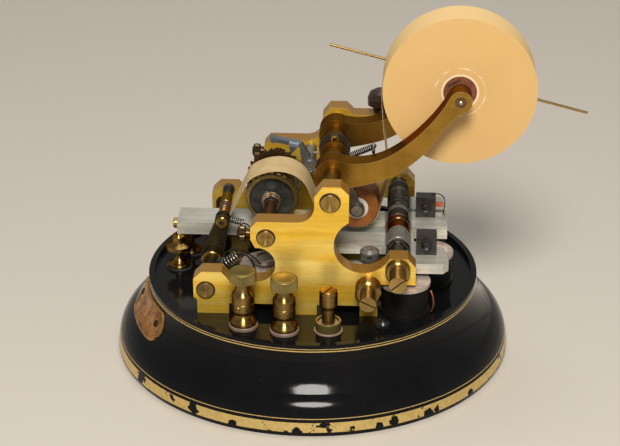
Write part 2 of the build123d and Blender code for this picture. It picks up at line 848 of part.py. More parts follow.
# ---- type wheels and escapement ------------------------------------------------------------------
shaft_end = fixed_fit + 0.25
shaft_front = plate_inner_front + shaft_end
shaft_back = rear_plate_y - shaft_end
with BuildPart() as type_shaft:
    turn(
        facing_back(type_axis, shaft_front),
        [
            (type_shaft_r - 0.6, 0.6, type_shaft_r),
            (type_shaft_r, wheel_sleeve_y - shaft_front - 0.6),
            (4.2, paper_front - wheel_sleeve_y - fixed_fit),
            (type_shaft_r, shaft_back - paper_front + fixed_fit - 0.6),
            (type_shaft_r, 0.6, type_shaft_r - 0.6),
        ],
    )
    for place in (facing_back(type_axis, shaft_front), facing_front(type_axis, shaft_back)):
        bore(place, bearing_tip_r + running_fit, bearing_tip)
finish(type_shaft, "type_shaft")

wheel_width = (tape_width - 0.6) / 2
for name, front in (
    ("letter_wheel", paper_front),
    ("figure_wheel", paper_front + wheel_width + 0.6),
):
    with BuildPart() as wheel:
        place = facing_back(type_axis, front)
        turn(place, [(wheel_r, wheel_width)])
        turn(place, [(wheel_r - 1.9, 3.4)], mode=Mode.SUBTRACT)
        turn(place.offset(wheel_width - 3.4), [(wheel_r - 1.9, 3.4)], mode=Mode.SUBTRACT)
        turn(place, [(5.2, wheel_width)])
        with BuildSketch(place.offset((wheel_width - type_axial) / 2)) as type_faces:
            with PolarLocations(wheel_r + type_height / 2 - 0.15, type_count):
                Rectangle(type_height + 0.3, 2.4)
        extrude(type_faces.sketch, amount=type_axial)
        bore(place, type_shaft_r + fixed_fit, wheel_width)
    finish(wheel, name)

with BuildPart() as escapement_wheel:
    thick = escape_y[1] - escape_y[0]
    place = facing_back(type_axis, escape_y[0])
    with BuildSketch(place) as rim:
        with BuildLine():
            points = []
            for i in range(escape_teeth):
                start = 2 * pi / escape_teeth * i
                for radius, lead in ((escape_r, 0.0), (escape_r - 2.0, 0.12)):
                    angle = start + lead * 2 * pi / escape_teeth
                    points.append((radius * cos(angle), radius * sin(angle)))
            Polyline(*points, close=True)
        make_face()
        with PolarLocations(8.6, 5):
            Circle(2.6, mode=Mode.SUBTRACT)
        Circle(type_shaft_r + fixed_fit, mode=Mode.SUBTRACT)
    extrude(rim.sketch, amount=thick)
    turn(place.offset(thick), [(5.4, 4.0)])
    bore(place.offset(thick), type_shaft_r + fixed_fit, 4.0)
finish(escapement_wheel, "escapement_wheel")

# ---- escapement pawl on its stud -------------------------------------------------------------------
with BuildPart() as plate_studs:
    turn(
        facing_front(pawl_axis, rear_plate_y + 4.6),
        [
            (pawl_stud_r, 4.6),
            (3.4, rear_plate_y - pawl_y[1] - 0.1),
            (pawl_stud_r, pawl_y[1] - pawl_y[0] + 0.2),
            (3.2, 1.4),
        ],
    )
    turn(
        facing_back(lug_pin_axis, plate_inner_front - 4.0),
        [(1.5, 4.0 + 9.6), (3.2, 0.8)],
    )
finish(plate_studs, "plate_studs")

nib_x = type_axis[0] + 9.0
nib_z = type_axis[1] + sqrt((escape_r + pawl_gap) ** 2 - 81.0)
with BuildPart() as escapement_pawl:
    with BuildSketch(upright(pawl_y[1])):
        with BuildLine():
            Polyline(
                (pawl_axis[0] + 1.0, pawl_axis[1] + 4.2),
                (pawl_axis[0] - 4.0, pawl_axis[1] + 13.4),
                (type_axis[0] - 1.0, type_axis[1] + 20.8),
                (type_axis[0] - 1.0, type_axis[1] + 18.4),
                (pawl_axis[0] - 5.4, pawl_axis[1] + 11.0),
                (pawl_axis[0] - 4.0, pawl_axis[1] + 1.0),
                close=True,
            )
        make_face()
        with Locations(pawl_axis):
            Circle(4.4)
        with Locations((type_axis[0] - 1.5, type_axis[1] + 19.6)):
            Circle(1.9)
    extrude(amount=pawl_y[1] - pawl_y[0])
    with BuildSketch(upright(pawl_y[1])):
        with BuildLine():
            Polyline(
                (nib_x + 4.0, nib_z + 3.6),
                (nib_x - 1.2, nib_z + 4.8),
                (nib_x - 0.4, nib_z + 0.2),
                (nib_x + 0.6, nib_z + 0.2),
                close=True,
            )
        make_face()
    extrude(amount=pawl_y[1] - escape_y[0] - 0.4)
    bore(facing_back(pawl_axis, pawl_y[0]), pawl_stud_r + running_fit, pawl_y[1] - pawl_y[0])
finish(escapement_pawl, "escapement_pawl")

# ---- levers on the right shaft --------------------------------------------------------------------------
bar_mid = sum(bar_z) / 2


def bevelled_bar(x, y, z, bevel):
    """A flat bar along X whose right end is cut back at a slant, seen from above."""
    with BuildSketch(Plane.XY.offset(z[0])) as outline:
        with BuildLine():
            Polyline(
                (x[0], y[0]),
                (x[1], y[0]),
                (x[1], y[0] + 4.0),
                (x[1] - bevel, y[1]),
                (x[0], y[1]),
                close=True,
            )
        make_face()
    extrude(outline.sketch, amount=z[1] - z[0])


def lever_hub(y, radius=lever_hub_r):
    turn(facing_back(right_axis, y[0]), [(radius - 0.5, 0.5, radius), (radius, y[1] - y[0] - 0.5)])


def lever_bore(y):
    bore(facing_back(right_axis, y[0]), right_shaft_r + running_fit, y[1] - y[0])


with BuildPart() as print_lever:
    bevelled_bar(print_bar_x, print_bar_y, bar_z, 2.5)
    lever_hub(print_bar_y, lever_hub_r - 0.4)
    block(
        (type_axis[0] - pad_reach, type_axis[0] + pad_reach),
        (paper_front + 6.0, print_bar_y[1] - 2.0),
        (bar_z[1], pad_base_z),
    )
    lever_bore(print_bar_y)
    bore(facing_down((block_x, sum(print_block_y) / 2), bar_z[1]), block_pin_r + fixed_fit, 5.0)
    tip = Plane(origin=(print_bar_x[0], tip_screw_y, bar_mid), x_dir=(0, 1, 0), z_dir=(1, 0, 0))
    bore(tip, tip_screw_r + fixed_fit, 9.0)
finish(print_lever, "print_lever")

with BuildPart() as print_pad:
    block(
        (type_axis[0] - pad_reach, type_axis[0] + pad_reach),
        (paper_front + 6.0, print_bar_y[1] - 2.0),
        (pad_base_z, pad_top_z),
    )
finish(print_pad, "print_pad")

def insulating_block(y, base_z):
    """A square hard-rubber block standing on a lever, with a shallow ring round its screw."""
    block(
        (block_x - block_size / 2, block_x + block_size / 2),
        y,
        (base_z, base_z + block_height),
    )
    mid = (block_x, base_z + block_height / 2)
    turn(facing_front(mid, y[0] + 0.01), [(3.6, 0.9)])
    bore(facing_front(mid, y[1]), block_screw_r + fixed_fit, y[1] - y[0] + 1.0)
    bore(facing_up((block_x, sum(y) / 2), base_z), block_pin_r + fixed_fit, 3.0)


def block_screws(y, base_z):
    mid = (block_x, base_z + block_height / 2)
    turn(
        facing_front(mid, y[1] + 1.5),
        [(2.6, 1.5), (block_screw_r, y[1] - y[0] + 0.95), (2.0, 0.9, 1.4)],
    )


def block_pin(y, base_z):
    turn(facing_up((block_x, sum(y) / 2), base_z - 4.5), [(block_pin_r, 7.0)])


with BuildPart() as print_lever_block:
    insulating_block(print_block_y, bar_z[1])
finish(print_lever_block, "print_lever_block")

with BuildPart() as print_lever_screws:
    block_screws(print_block_y, bar_z[1])
    block_pin(print_block_y, bar_z[1])
    turn(
        Plane(origin=(print_bar_x[0] + 8.0, tip_screw_y, bar_mid), x_dir=(0, 1, 0), z_dir=(-1, 0, 0)),
        [(tip_screw_r, 8.0 + 0.4), (2.9, 1.8), (2.9, 0.6, 2.3)],
    )
    slot(
        Plane(origin=(print_bar_x[0] - 2.8, tip_screw_y, bar_mid), x_dir=(0, 1, 0), z_dir=(-1, 0, 0)),
        0.7,
        0.8,
        7.0,
        turned=30,
    )
finish(print_lever_screws, "print_lever_screws")

with BuildPart() as type_lever:
    bevelled_bar((type_bar_x[0], right_axis[0]), type_arm_y, (bar_z[0], armature_top), 0.0)
    with BuildSketch(Plane.XY.offset(bar_z[0])) as armature:
        with BuildLine():
            Polyline(
                (right_axis[0], type_arm_y[0]),
                (armature_x, type_armature_y[0]),
                (type_bar_x[1] - 3.0, type_armature_y[0]),
                (type_bar_x[1], type_armature_y[0] + 4.0),
                (type_bar_x[1] - 2.0, type_armature_y[1]),
                (armature_x + 1.0, type_armature_y[1]),
                (armature_x - 1.0, type_arm_y[1]),
                (right_axis[0], type_arm_y[1]),
                close=True,
            )
        make_face()
    extrude(armature.sketch, amount=armature_top - bar_z[0])
    lever_hub(type_hub_y)
    lever_bore(type_hub_y)
    bore(facing_down((block_x, sum(type_block_y) / 2), armature_top), block_pin_r + fixed_fit, 5.0)
finish(type_lever, "type_lever")

with BuildPart() as type_lever_block:
    insulating_block(type_block_y, armature_top)
finish(type_lever_block, "type_lever_block")

with BuildPart() as type_lever_screws:
    block_screws(type_block_y, armature_top)
    block_pin(type_block_y, armature_top)
finish(type_lever_screws, "type_lever_screws")

with BuildPart() as shift_lever:
    bevelled_bar((right_axis[0], print_bar_x[1]), shift_bar_y, (bar_z[0], bar_z[1]), 2.5)
    lever_hub(shift_hub_y, lever_hub_r - 0.4)
    lever_bore(shift_hub_y)
finish(shift_lever, "shift_lever")

with BuildPart() as right_shaft_collars:
    for y, radius in (
        (front_collar_y, 5.4),
        (washer_y, 6.7),
        (rear_collar_y, 4.8),
    ):
        turn(
            facing_back(right_axis, y[0]),
            [(radius - 0.4, 0.4, radius), (radius, y[1] - y[0] - 0.8), (radius, 0.4, radius - 0.4)],
        )
        bore(facing_back(right_axis, y[0]), right_shaft_r + fixed_fit, y[1] - y[0])
finish(right_shaft_collars, "right_shaft_collars")

# ---- magnets under the levers ------------------------------------------------------------------------
with BuildPart() as magnet_cores:
    for spot in magnet_places:
        turn(
            facing_up(spot, deck_z),
            [(core_radius, core_top - deck_z - 0.6), (core_radius, 0.6, core_radius - 0.6)],
        )
        bore(facing_up(spot, deck_z), screw_r + fixed_fit, 9.0)
    turn(facing_up(magnet_places[3], core_top), [(7.0, 2.2), (7.0, 0.8, 6.2)])
    turn(facing_up(magnet_places[3], core_top + 1.8), [(4.4, 1.2)], mode=Mode.SUBTRACT)
finish(magnet_cores, "magnet_cores")

with BuildPart() as magnet_spools:
    for spot in magnet_places:
        turn(facing_up(spot, deck_z), [(spool_tube_r, coil_top - deck_z)])
        bore(facing_up(spot, deck_z), core_radius + fixed_fit, coil_top - deck_z)
finish(magnet_spools, "magnet_spools")

with BuildPart() as spool_cheeks:
    for spot in magnet_places:
        for z in (deck_z, coil_top - cheek_thick):
            turn(facing_up(spot, z), [(cheek_r, cheek_thick)])
            bore(facing_up(spot, z), spool_tube_r + fixed_fit, cheek_thick)
finish(spool_cheeks, "spool_cheeks")

with BuildPart() as magnet_coils:
    for spot in magnet_places:
        place = facing_up(spot, deck_z + cheek_thick)
        height = coil_top - deck_z - 2 * cheek_thick
        turn(place, [(coil_r, height)])
        bore(place, spool_tube_r + fixed_fit, height)
finish(magnet_coils, "magnet_coils")

# ---- stop pillar and its strip behind the window ---------------------------------------------------------
with BuildPart() as stop_pillar:
    turn(
        facing_up(pillar_place, deck_z),
        [
            (4.6, pillar_strip_z - deck_z),
            (4.6, 2.2),
            (2.8, 2.2),
            (2.8, 1.8, 4.9),
            (5.3, 4.2),
            (5.3, 1.6, 3.4),
        ],
    )
    cross = Plane(
        origin=(pillar_place[0], pillar_place[1] - 7.0, pillar_strip_z + 8.2),
        x_dir=(1, 0, 0),
        z_dir=(0, 1, 0),
    )
    bore(cross, 1.3, 14.0)
    block(
        (14.0, pillar_place[0] + 5.6),
        (pillar_place[1] - 5.0, pillar_place[1] + 5.0),
        (pillar_strip_z, pillar_strip_z + 2.2),
    )
finish(stop_pillar, "stop_pillar")

# ---- rock shaft on the left --------------------------------------------------------------------------------
with BuildPart() as rock_shaft:
    turn(
        facing_back(left_axis, front_plate_y + 0.4),
        [
            (left_shaft_r + 0.5, plate_thick - 0.4 + shaft_end),
            (left_shaft_r, rear_plate_y - plate_inner_front - 2 * shaft_end),
            (left_shaft_r + 0.5, plate_thick - 0.4 + shaft_end),
        ],
    )
    for y, radius in ((rock_front_collar_y, 5.6), (rock_rear_collar_y, 5.6)):
        turn(
            facing_back(left_axis, y[0]),
            [(radius - 0.4, 0.4, radius), (radius, y[1] - y[0] - 0.4)],
        )
finish(rock_shaft, "rock_shaft")

with BuildPart() as rock_disc:
    turn(facing_back(left_axis, rock_arm_y[1] + 0.2), [(6.4, 1.8)])
    bore(facing_back(left_axis, rock_arm_y[1] + 0.2), left_shaft_r + fixed_fit, 1.8)
finish(rock_disc, "rock_disc")

with BuildPart() as tape_guide_arm:
    with BuildSketch(upright(rock_arm_y[1])):
        with BuildLine():
            Polyline(
                (left_axis[0] - 5.6, left_axis[1] + 3.4),
                (guide_axis[0] - 3.9, guide_axis[1] - 1.0),
                (guide_axis[0] + 3.9, guide_axis[1] - 1.0),
                (left_axis[0] + 6.2, left_axis[1] + 2.4),
                close=True,
            )
        make_face()
        with Locations(left_axis):
            Circle(6.6)
        with Locations(guide_axis):
            Circle(4.2)
    extrude(amount=rock_arm_y[1] - rock_arm_y[0])
    turn(facing_front(left_axis, rock_arm_y[0]), [(6.9, 1.4)])
    bore(facing_front(left_axis, rock_arm_y[1]), left_shaft_r + fixed_fit, 12.0)
    bore(facing_front(guide_axis, rock_arm_y[1]), guide_r + fixed_fit, 12.0)
finish(tape_guide_arm, "tape_guide_arm")

with BuildPart() as tape_guide_tube:
    turn(
        facing_back(guide_axis, rock_arm_y[0] - 1.6),
        [(guide_r - 0.4, 0.4, guide_r), (guide_r, guide_back_y - rock_arm_y[0]), (guide_r + 0.6, 1.2)],
    )
    bore(facing_back(guide_axis, rock_arm_y[0] - 1.6), 1.3, 5.0)
finish(tape_guide_tube, "tape_guide_tube")

with BuildPart() as lug_spring:
    turn(facing_back(lug_pin_axis, plate_inner_front + 0.1), [(3.0, 9.4)])
    bore(facing_back(lug_pin_axis, plate_inner_front), 2.2, 10.0)
finish(lug_spring, "lug_spring")

# ---- binding posts and terminals on the deck ------------------------------------------------------------------
with BuildPart() as post_insulators:
    for spot in post_spots + left_terminals:
        turn(
            facing_up(spot, deck_z - deck_thick),
            [(insulator_r, deck_thick), (post_flange_r + 0.4, post_washer)],
        )
        bore(facing_up(spot, deck_z - deck_thick), stem_r + fixed_fit, deck_thick + post_washer)
finish(post_insulators, "post_insulators")

post_base_z = deck_z + post_washer
with BuildPart() as post_nuts:
    for spot in post_spots + left_terminals:
        turn(facing_down(spot, deck_z - deck_thick), [(post_flange_r - 1.0, 1.0)])
        with BuildSketch(facing_down(spot, deck_z - deck_thick - 1.0)):
            RegularPolygon(4.0, 6)
        extrude(amount=2.4)
        bore(facing_down(spot, deck_z - deck_thick), stem_r + fixed_fit, 3.4)
finish(post_nuts, "post_nuts")

stem_down = (stem_r, deck_thick + post_washer + 4.2)
with BuildPart() as binding_posts:
    for spot in post_places:
        turn(
            facing_up(spot, post_base_z - stem_down[1]),
            [
                stem_down,
                (post_flange_r, 1.6),
                (post_flange_r, 3.4, 4.0),
                (3.6, 2.0, post_r),
                (post_r, 9.0),
                (post_r, 1.8, 3.4),
                (3.0, post_top - post_base_z - 17.8),
            ],
        )
        bore(facing_down(spot, post_top), thumb_screw_r + running_fit, 11.0)
        wire_way = Plane(
            origin=(spot[0], spot[1] - post_r - 1.0, post_hole_z),
            x_dir=(1, 0, 0),
            z_dir=(0, 1, 0),
        )
        bore(wire_way, post_hole_r, 2 * post_r + 2.0)
    turn(
        facing_up(terminal_post, post_base_z - stem_down[1]),
        [
            stem_down,
            (6.9, 8.6),
            (6.9, 1.2, 5.6),
            (3.1, 9.4),
            (4.7, 8.0),
            (4.7, 0.6, 4.1),
        ],
    )
    slot(facing_up(terminal_post, post_base_z + 27.8), 0.9, 1.4, 12.0, turned=60)
    for spot in left_terminals:
        turn(
            facing_up(spot, post_base_z - stem_down[1]),
            [stem_down, (7.0, 1.4), (7.0, 1.4, 4.4), (2.6, 6.4), (stem_r, 9.2)],
        )
finish(binding_posts, "binding_posts")

for name, spot in zip(("left_post_thumbscrew", "right_post_thumbscrew"), post_places):
    with BuildPart() as thumbscrew:
        turn(
            facing_up(spot, post_hole_z + post_hole_r + 0.2),
            [
                (thumb_screw_r, post_top - post_hole_z - post_hole_r - 0.2 + thumb_gap),
                (3.2, 1.6, 4.6),
                (thumb_r - 0.6, 0.6, thumb_r),
                (thumb_r, 4.6),
                (thumb_r, 0.6, thumb_r - 0.6),
            ],
        )
    finish(thumbscrew, name)

for name, spot in zip(("front_terminal_nut", "rear_terminal_nut"), left_terminals):
    with BuildPart() as nut:
        turn(
            facing_up(spot, post_base_z + 9.2 + thumb_gap),
            [(5.2, 1.2, 7.3), (7.3, 2.2), (7.3, 1.8, 3.6), (3.6, 3.4), (3.6, 0.5, 3.1)],
        )
        bore(facing_up(spot, post_base_z + 9.0), stem_r + running_fit, 15.0)
    finish(nut, name)

with BuildPart() as deck_plug:
    turn(
        facing_up(plug_place, deck_z),
        [(3.9, 1.0), (3.7, 0.8), (3.7, 1.2, 2.6), (2.6, 0.6, 1.2)],
    )
    turn(facing_down(plug_place, deck_z), [(screw_r, deck_thick)])
finish(deck_plug, "deck_plug")
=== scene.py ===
import json
import random
import math
from math import cos, pi, radians, sin, sqrt

import bmesh
import bpy
from mathutils import Matrix, Vector

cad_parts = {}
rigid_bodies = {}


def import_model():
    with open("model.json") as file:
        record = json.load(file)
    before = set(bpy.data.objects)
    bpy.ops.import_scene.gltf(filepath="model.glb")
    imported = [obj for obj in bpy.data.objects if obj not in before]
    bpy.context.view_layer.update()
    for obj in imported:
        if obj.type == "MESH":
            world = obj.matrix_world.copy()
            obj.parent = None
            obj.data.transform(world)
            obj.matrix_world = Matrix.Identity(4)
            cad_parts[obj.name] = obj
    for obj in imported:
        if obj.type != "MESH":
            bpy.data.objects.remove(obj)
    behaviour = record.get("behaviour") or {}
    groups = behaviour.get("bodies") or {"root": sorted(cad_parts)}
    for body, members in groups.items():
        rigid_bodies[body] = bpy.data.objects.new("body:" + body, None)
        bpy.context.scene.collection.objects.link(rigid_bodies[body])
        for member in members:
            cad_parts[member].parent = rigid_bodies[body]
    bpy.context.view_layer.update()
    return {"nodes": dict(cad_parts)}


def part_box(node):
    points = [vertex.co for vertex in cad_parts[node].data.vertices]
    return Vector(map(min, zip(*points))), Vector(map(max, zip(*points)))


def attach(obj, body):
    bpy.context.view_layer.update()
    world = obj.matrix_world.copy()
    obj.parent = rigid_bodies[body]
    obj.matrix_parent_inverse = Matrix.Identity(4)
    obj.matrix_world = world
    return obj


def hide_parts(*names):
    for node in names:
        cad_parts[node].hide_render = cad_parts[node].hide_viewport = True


mm = 0.001

for old in list(bpy.data.objects):
    bpy.data.objects.remove(old)

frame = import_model()
nodes = frame["nodes"]
print("frame loaded:", len(nodes), "nodes")


def spans(name):
    # lowest and highest corner of a node at rest, in mm
    low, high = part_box(name)
    return [value / mm for value in low], [value / mm for value in high]


def middle(name):
    low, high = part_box(name)
    return [(a + b) / 2 / mm for a, b in zip(low, high)]


# small helpers for shader trees
def addNode(tree, kind, settings=None, values=None):
    made = tree.nodes.new(kind)
    for key, value in (settings or {}).items():
        setattr(made, key, value)
    for key, value in (values or {}).items():
        made.inputs[key].default_value = value
    return made


def newFinish(name, colour, metallic, roughness):
    finish = bpy.data.materials.new(name)
    finish.use_nodes = True
    finish.diffuse_color = (*colour, 1.0)
    shader = finish.node_tree.nodes["Principled BSDF"]
    shader.inputs["Base Color"].default_value = (*colour, 1.0)
    shader.inputs["Metallic"].default_value = metallic
    shader.inputs["Roughness"].default_value = roughness
    return finish, finish.node_tree, shader


def plug(tree, socket, value):
    # another node's output is linked, a plain value is set
    if isinstance(value, bpy.types.NodeSocket):
        tree.links.new(value, socket)
    elif value is not None:
        socket.default_value = value


def spotIn(tree):
    return addNode(tree, "ShaderNodeTexCoord").outputs["Object"]


def surfaceWay(tree):
    return addNode(tree, "ShaderNodeNewGeometry").outputs["Normal"]


def alongAxis(tree, vector, axis):
    parts = addNode(tree, "ShaderNodeSeparateXYZ")
    tree.links.new(vector, parts.inputs[0])
    return parts.outputs[axis]


def stretchedNoise(tree, stretch, size=1.0, detail=6.0, rough=0.6):
    # noise in object space; stretch is how many waves per metre along X, Y and Z
    scale = addNode(tree, "ShaderNodeMapping", values={"Scale": stretch})
    noise = addNode(tree, "ShaderNodeTexNoise", values={"Scale": size, "Detail": detail, "Roughness": rough})
    tree.links.new(spotIn(tree), scale.inputs["Vector"])
    tree.links.new(scale.outputs["Vector"], noise.inputs["Vector"])
    return noise.outputs["Fac"]


def evenNoise(tree, size, detail=6.0, rough=0.6):
    return stretchedNoise(tree, (1.0, 1.0, 1.0), size, detail, rough)


def ramp(tree, source, stops):
    # stops are (position, grey) pairs
    made = addNode(tree, "ShaderNodeValToRGB")
    band = made.color_ramp
    while len(band.elements) < len(stops):
        band.elements.new(0.5)
    for element, (position, grey) in zip(band.elements, stops):
        element.position = position
        element.color = (grey, grey, grey, 1.0)
    tree.links.new(source, made.inputs["Fac"])
    return made.outputs["Color"]


def rise(tree, source, low, high):
    # from 0 at low to 1 at high
    return ramp(tree, source, [(low, 0.0), (high, 1.0)])


def patchy(tree, size, low, high, detail=6.0, rough=0.6):
    return rise(tree, evenNoise(tree, size, detail, rough), low, high)


def mathNode(tree, operation, first, second=None, clamp=False):
    made = addNode(tree, "ShaderNodeMath", {"operation": operation, "use_clamp": clamp})
    plug(tree, made.inputs[0], first)
    plug(tree, made.inputs[1], second)
    return made.outputs["Value"]


def vectorNode(tree, operation, first, second=None, result="Vector"):
    made = addNode(tree, "ShaderNodeVectorMath", {"operation": operation})
    plug(tree, made.inputs[0], first)
    plug(tree, made.inputs[1], second)
    return made.outputs[result]


def times(tree, first, second):
    return mathNode(tree, "MULTIPLY", first, second)


def plus(tree, first, second, clamp=False):
    return mathNode(tree, "ADD", first, second, clamp)


def heightIn(tree):
    # height above the table in metres
    return alongAxis(tree, spotIn(tree), 2)


def blendColour(tree, factor, first, second):
    made = addNode(tree, "ShaderNodeMix", {"data_type": "RGBA"})
    tree.links.new(factor, made.inputs[0])
    for socket, value in ((made.inputs[6], first), (made.inputs[7], second)):
        plug(tree, socket, (*value, 1.0) if isinstance(value, tuple) else value)
    return made.outputs[2]


def layOver(tree, colour, mask, amount, over):
    return blendColour(tree, times(tree, mask, amount), colour, over)


def feed(tree, shader, colour, rough=None):
    tree.links.new(colour, shader.inputs["Base Color"])
    if rough:
        tree.links.new(rough, shader.inputs["Roughness"])


def addBump(tree, shader, height, strength, depth):
    bump = addNode(tree, "ShaderNodeBump", values={"Strength": strength, "Distance": depth})
    tree.links.new(height, bump.inputs["Height"])
    last = shader.inputs["Normal"]
    if last.is_linked:
        tree.links.new(last.links[0].from_socket, bump.inputs["Normal"])
    tree.links.new(bump.outputs["Normal"], last)


def edgeMask(tree, reach, low, high):
    # bright near the edges, where handling wears a finish
    rounded = addNode(tree, "ShaderNodeBevel", {"samples": 4}, {"Radius": reach})
    dot = vectorNode(tree, "DOT_PRODUCT", rounded.outputs["Normal"], surfaceWay(tree), "Value")
    return rise(tree, mathNode(tree, "SUBTRACT", 1.0, dot), low, high)


def facingMask(tree, axis):
    # 1 on faces square to an axis, 0 on the others
    return rise(tree, mathNode(tree, "ABSOLUTE", alongAxis(tree, surfaceWay(tree), axis)), 0.80, 0.93)


def distanceFrom(tree, centre):
    # mm from an axis that runs front to back through centre
    centred = vectorNode(tree, "SUBTRACT", spotIn(tree), (centre[0] * mm, 0.0, centre[1] * mm))
    flat = vectorNode(tree, "MULTIPLY", centred, (1000.0, 0.0, 1000.0))
    return vectorNode(tree, "LENGTH", flat, result="Value")


# camera and studio
studio = {
    "cameraAt": (0.041795, -0.954512, 0.522411),
    "lookAt": (-0.001549, 0.0, 0.07116),
    "lens": 110.32,
    "floorColour": (0.52, 0.475, 0.41),
    "skyColour": (0.95, 0.92, 0.87),
    "skyStops": [(0.0, 0.50), (0.52, 0.50), (0.66, 0.40), (0.82, 0.28), (1.0, 0.24)],  # from below to overhead
    "lamps": [
        # name, place, aim, size, watts, colour
        ("keyLamp", (0.04, -1.10, 1.30), (0.0, 0.0, 0.05), 0.52, 31.0, (1.0, 0.97, 0.92)),
        ("topPanel", (0.05, 0.75, 1.80), (0.0, 0.0, 0.08), 1.1, 9.0, (0.97, 0.98, 1.0)),
    ],
}


def aimAt(thing, target):
    way = Vector(target) - thing.location
    thing.rotation_euler = way.to_track_quat("-Z", "Y").to_euler()


def buildStudio(setup):
    camera = bpy.data.objects.new("camera", bpy.data.cameras.new("camera"))
    camera.data.sensor_width = 36.0
    camera.data.lens = setup["lens"]
    camera.data.clip_start = 0.01
    camera.location = setup["cameraAt"]
    aimAt(camera, setup["lookAt"])
    bpy.context.collection.objects.link(camera)
    bpy.context.scene.camera = camera
    for name, place, aim, size, watts, colour in setup["lamps"]:
        lamp = bpy.data.lights.new(name, "AREA")
        lamp.shape = "DISK"
        lamp.size = size
        lamp.energy = watts
        lamp.color = colour
        holder = bpy.data.objects.new(name, lamp)
        holder.location = place
        aimAt(holder, aim)
        bpy.context.collection.objects.link(holder)
    world = bpy.data.worlds.new("studio")
    world.use_nodes = True
    sky = world.node_tree.nodes["Background"]
    sky.inputs["Color"].default_value = (*setup["skyColour"], 1.0)
    # the sky is brighter near the horizon than overhead
    tree = world.node_tree
    place = addNode(tree, "ShaderNodeTexCoord")
    half = addNode(tree, "ShaderNodeMath", {"operation": "MULTIPLY_ADD"}, {1: 0.5, 2: 0.5})
    tree.links.new(alongAxis(tree, place.outputs["Generated"], 2), half.inputs[0])
    tree.links.new(ramp(tree, half.outputs[0], setup["skyStops"]), sky.inputs["Strength"])
    bpy.context.scene.world = world
    bpy.context.scene.view_settings.view_transform = "Standard"


buildStudio(studio)
print("camera, lamps and world ready")


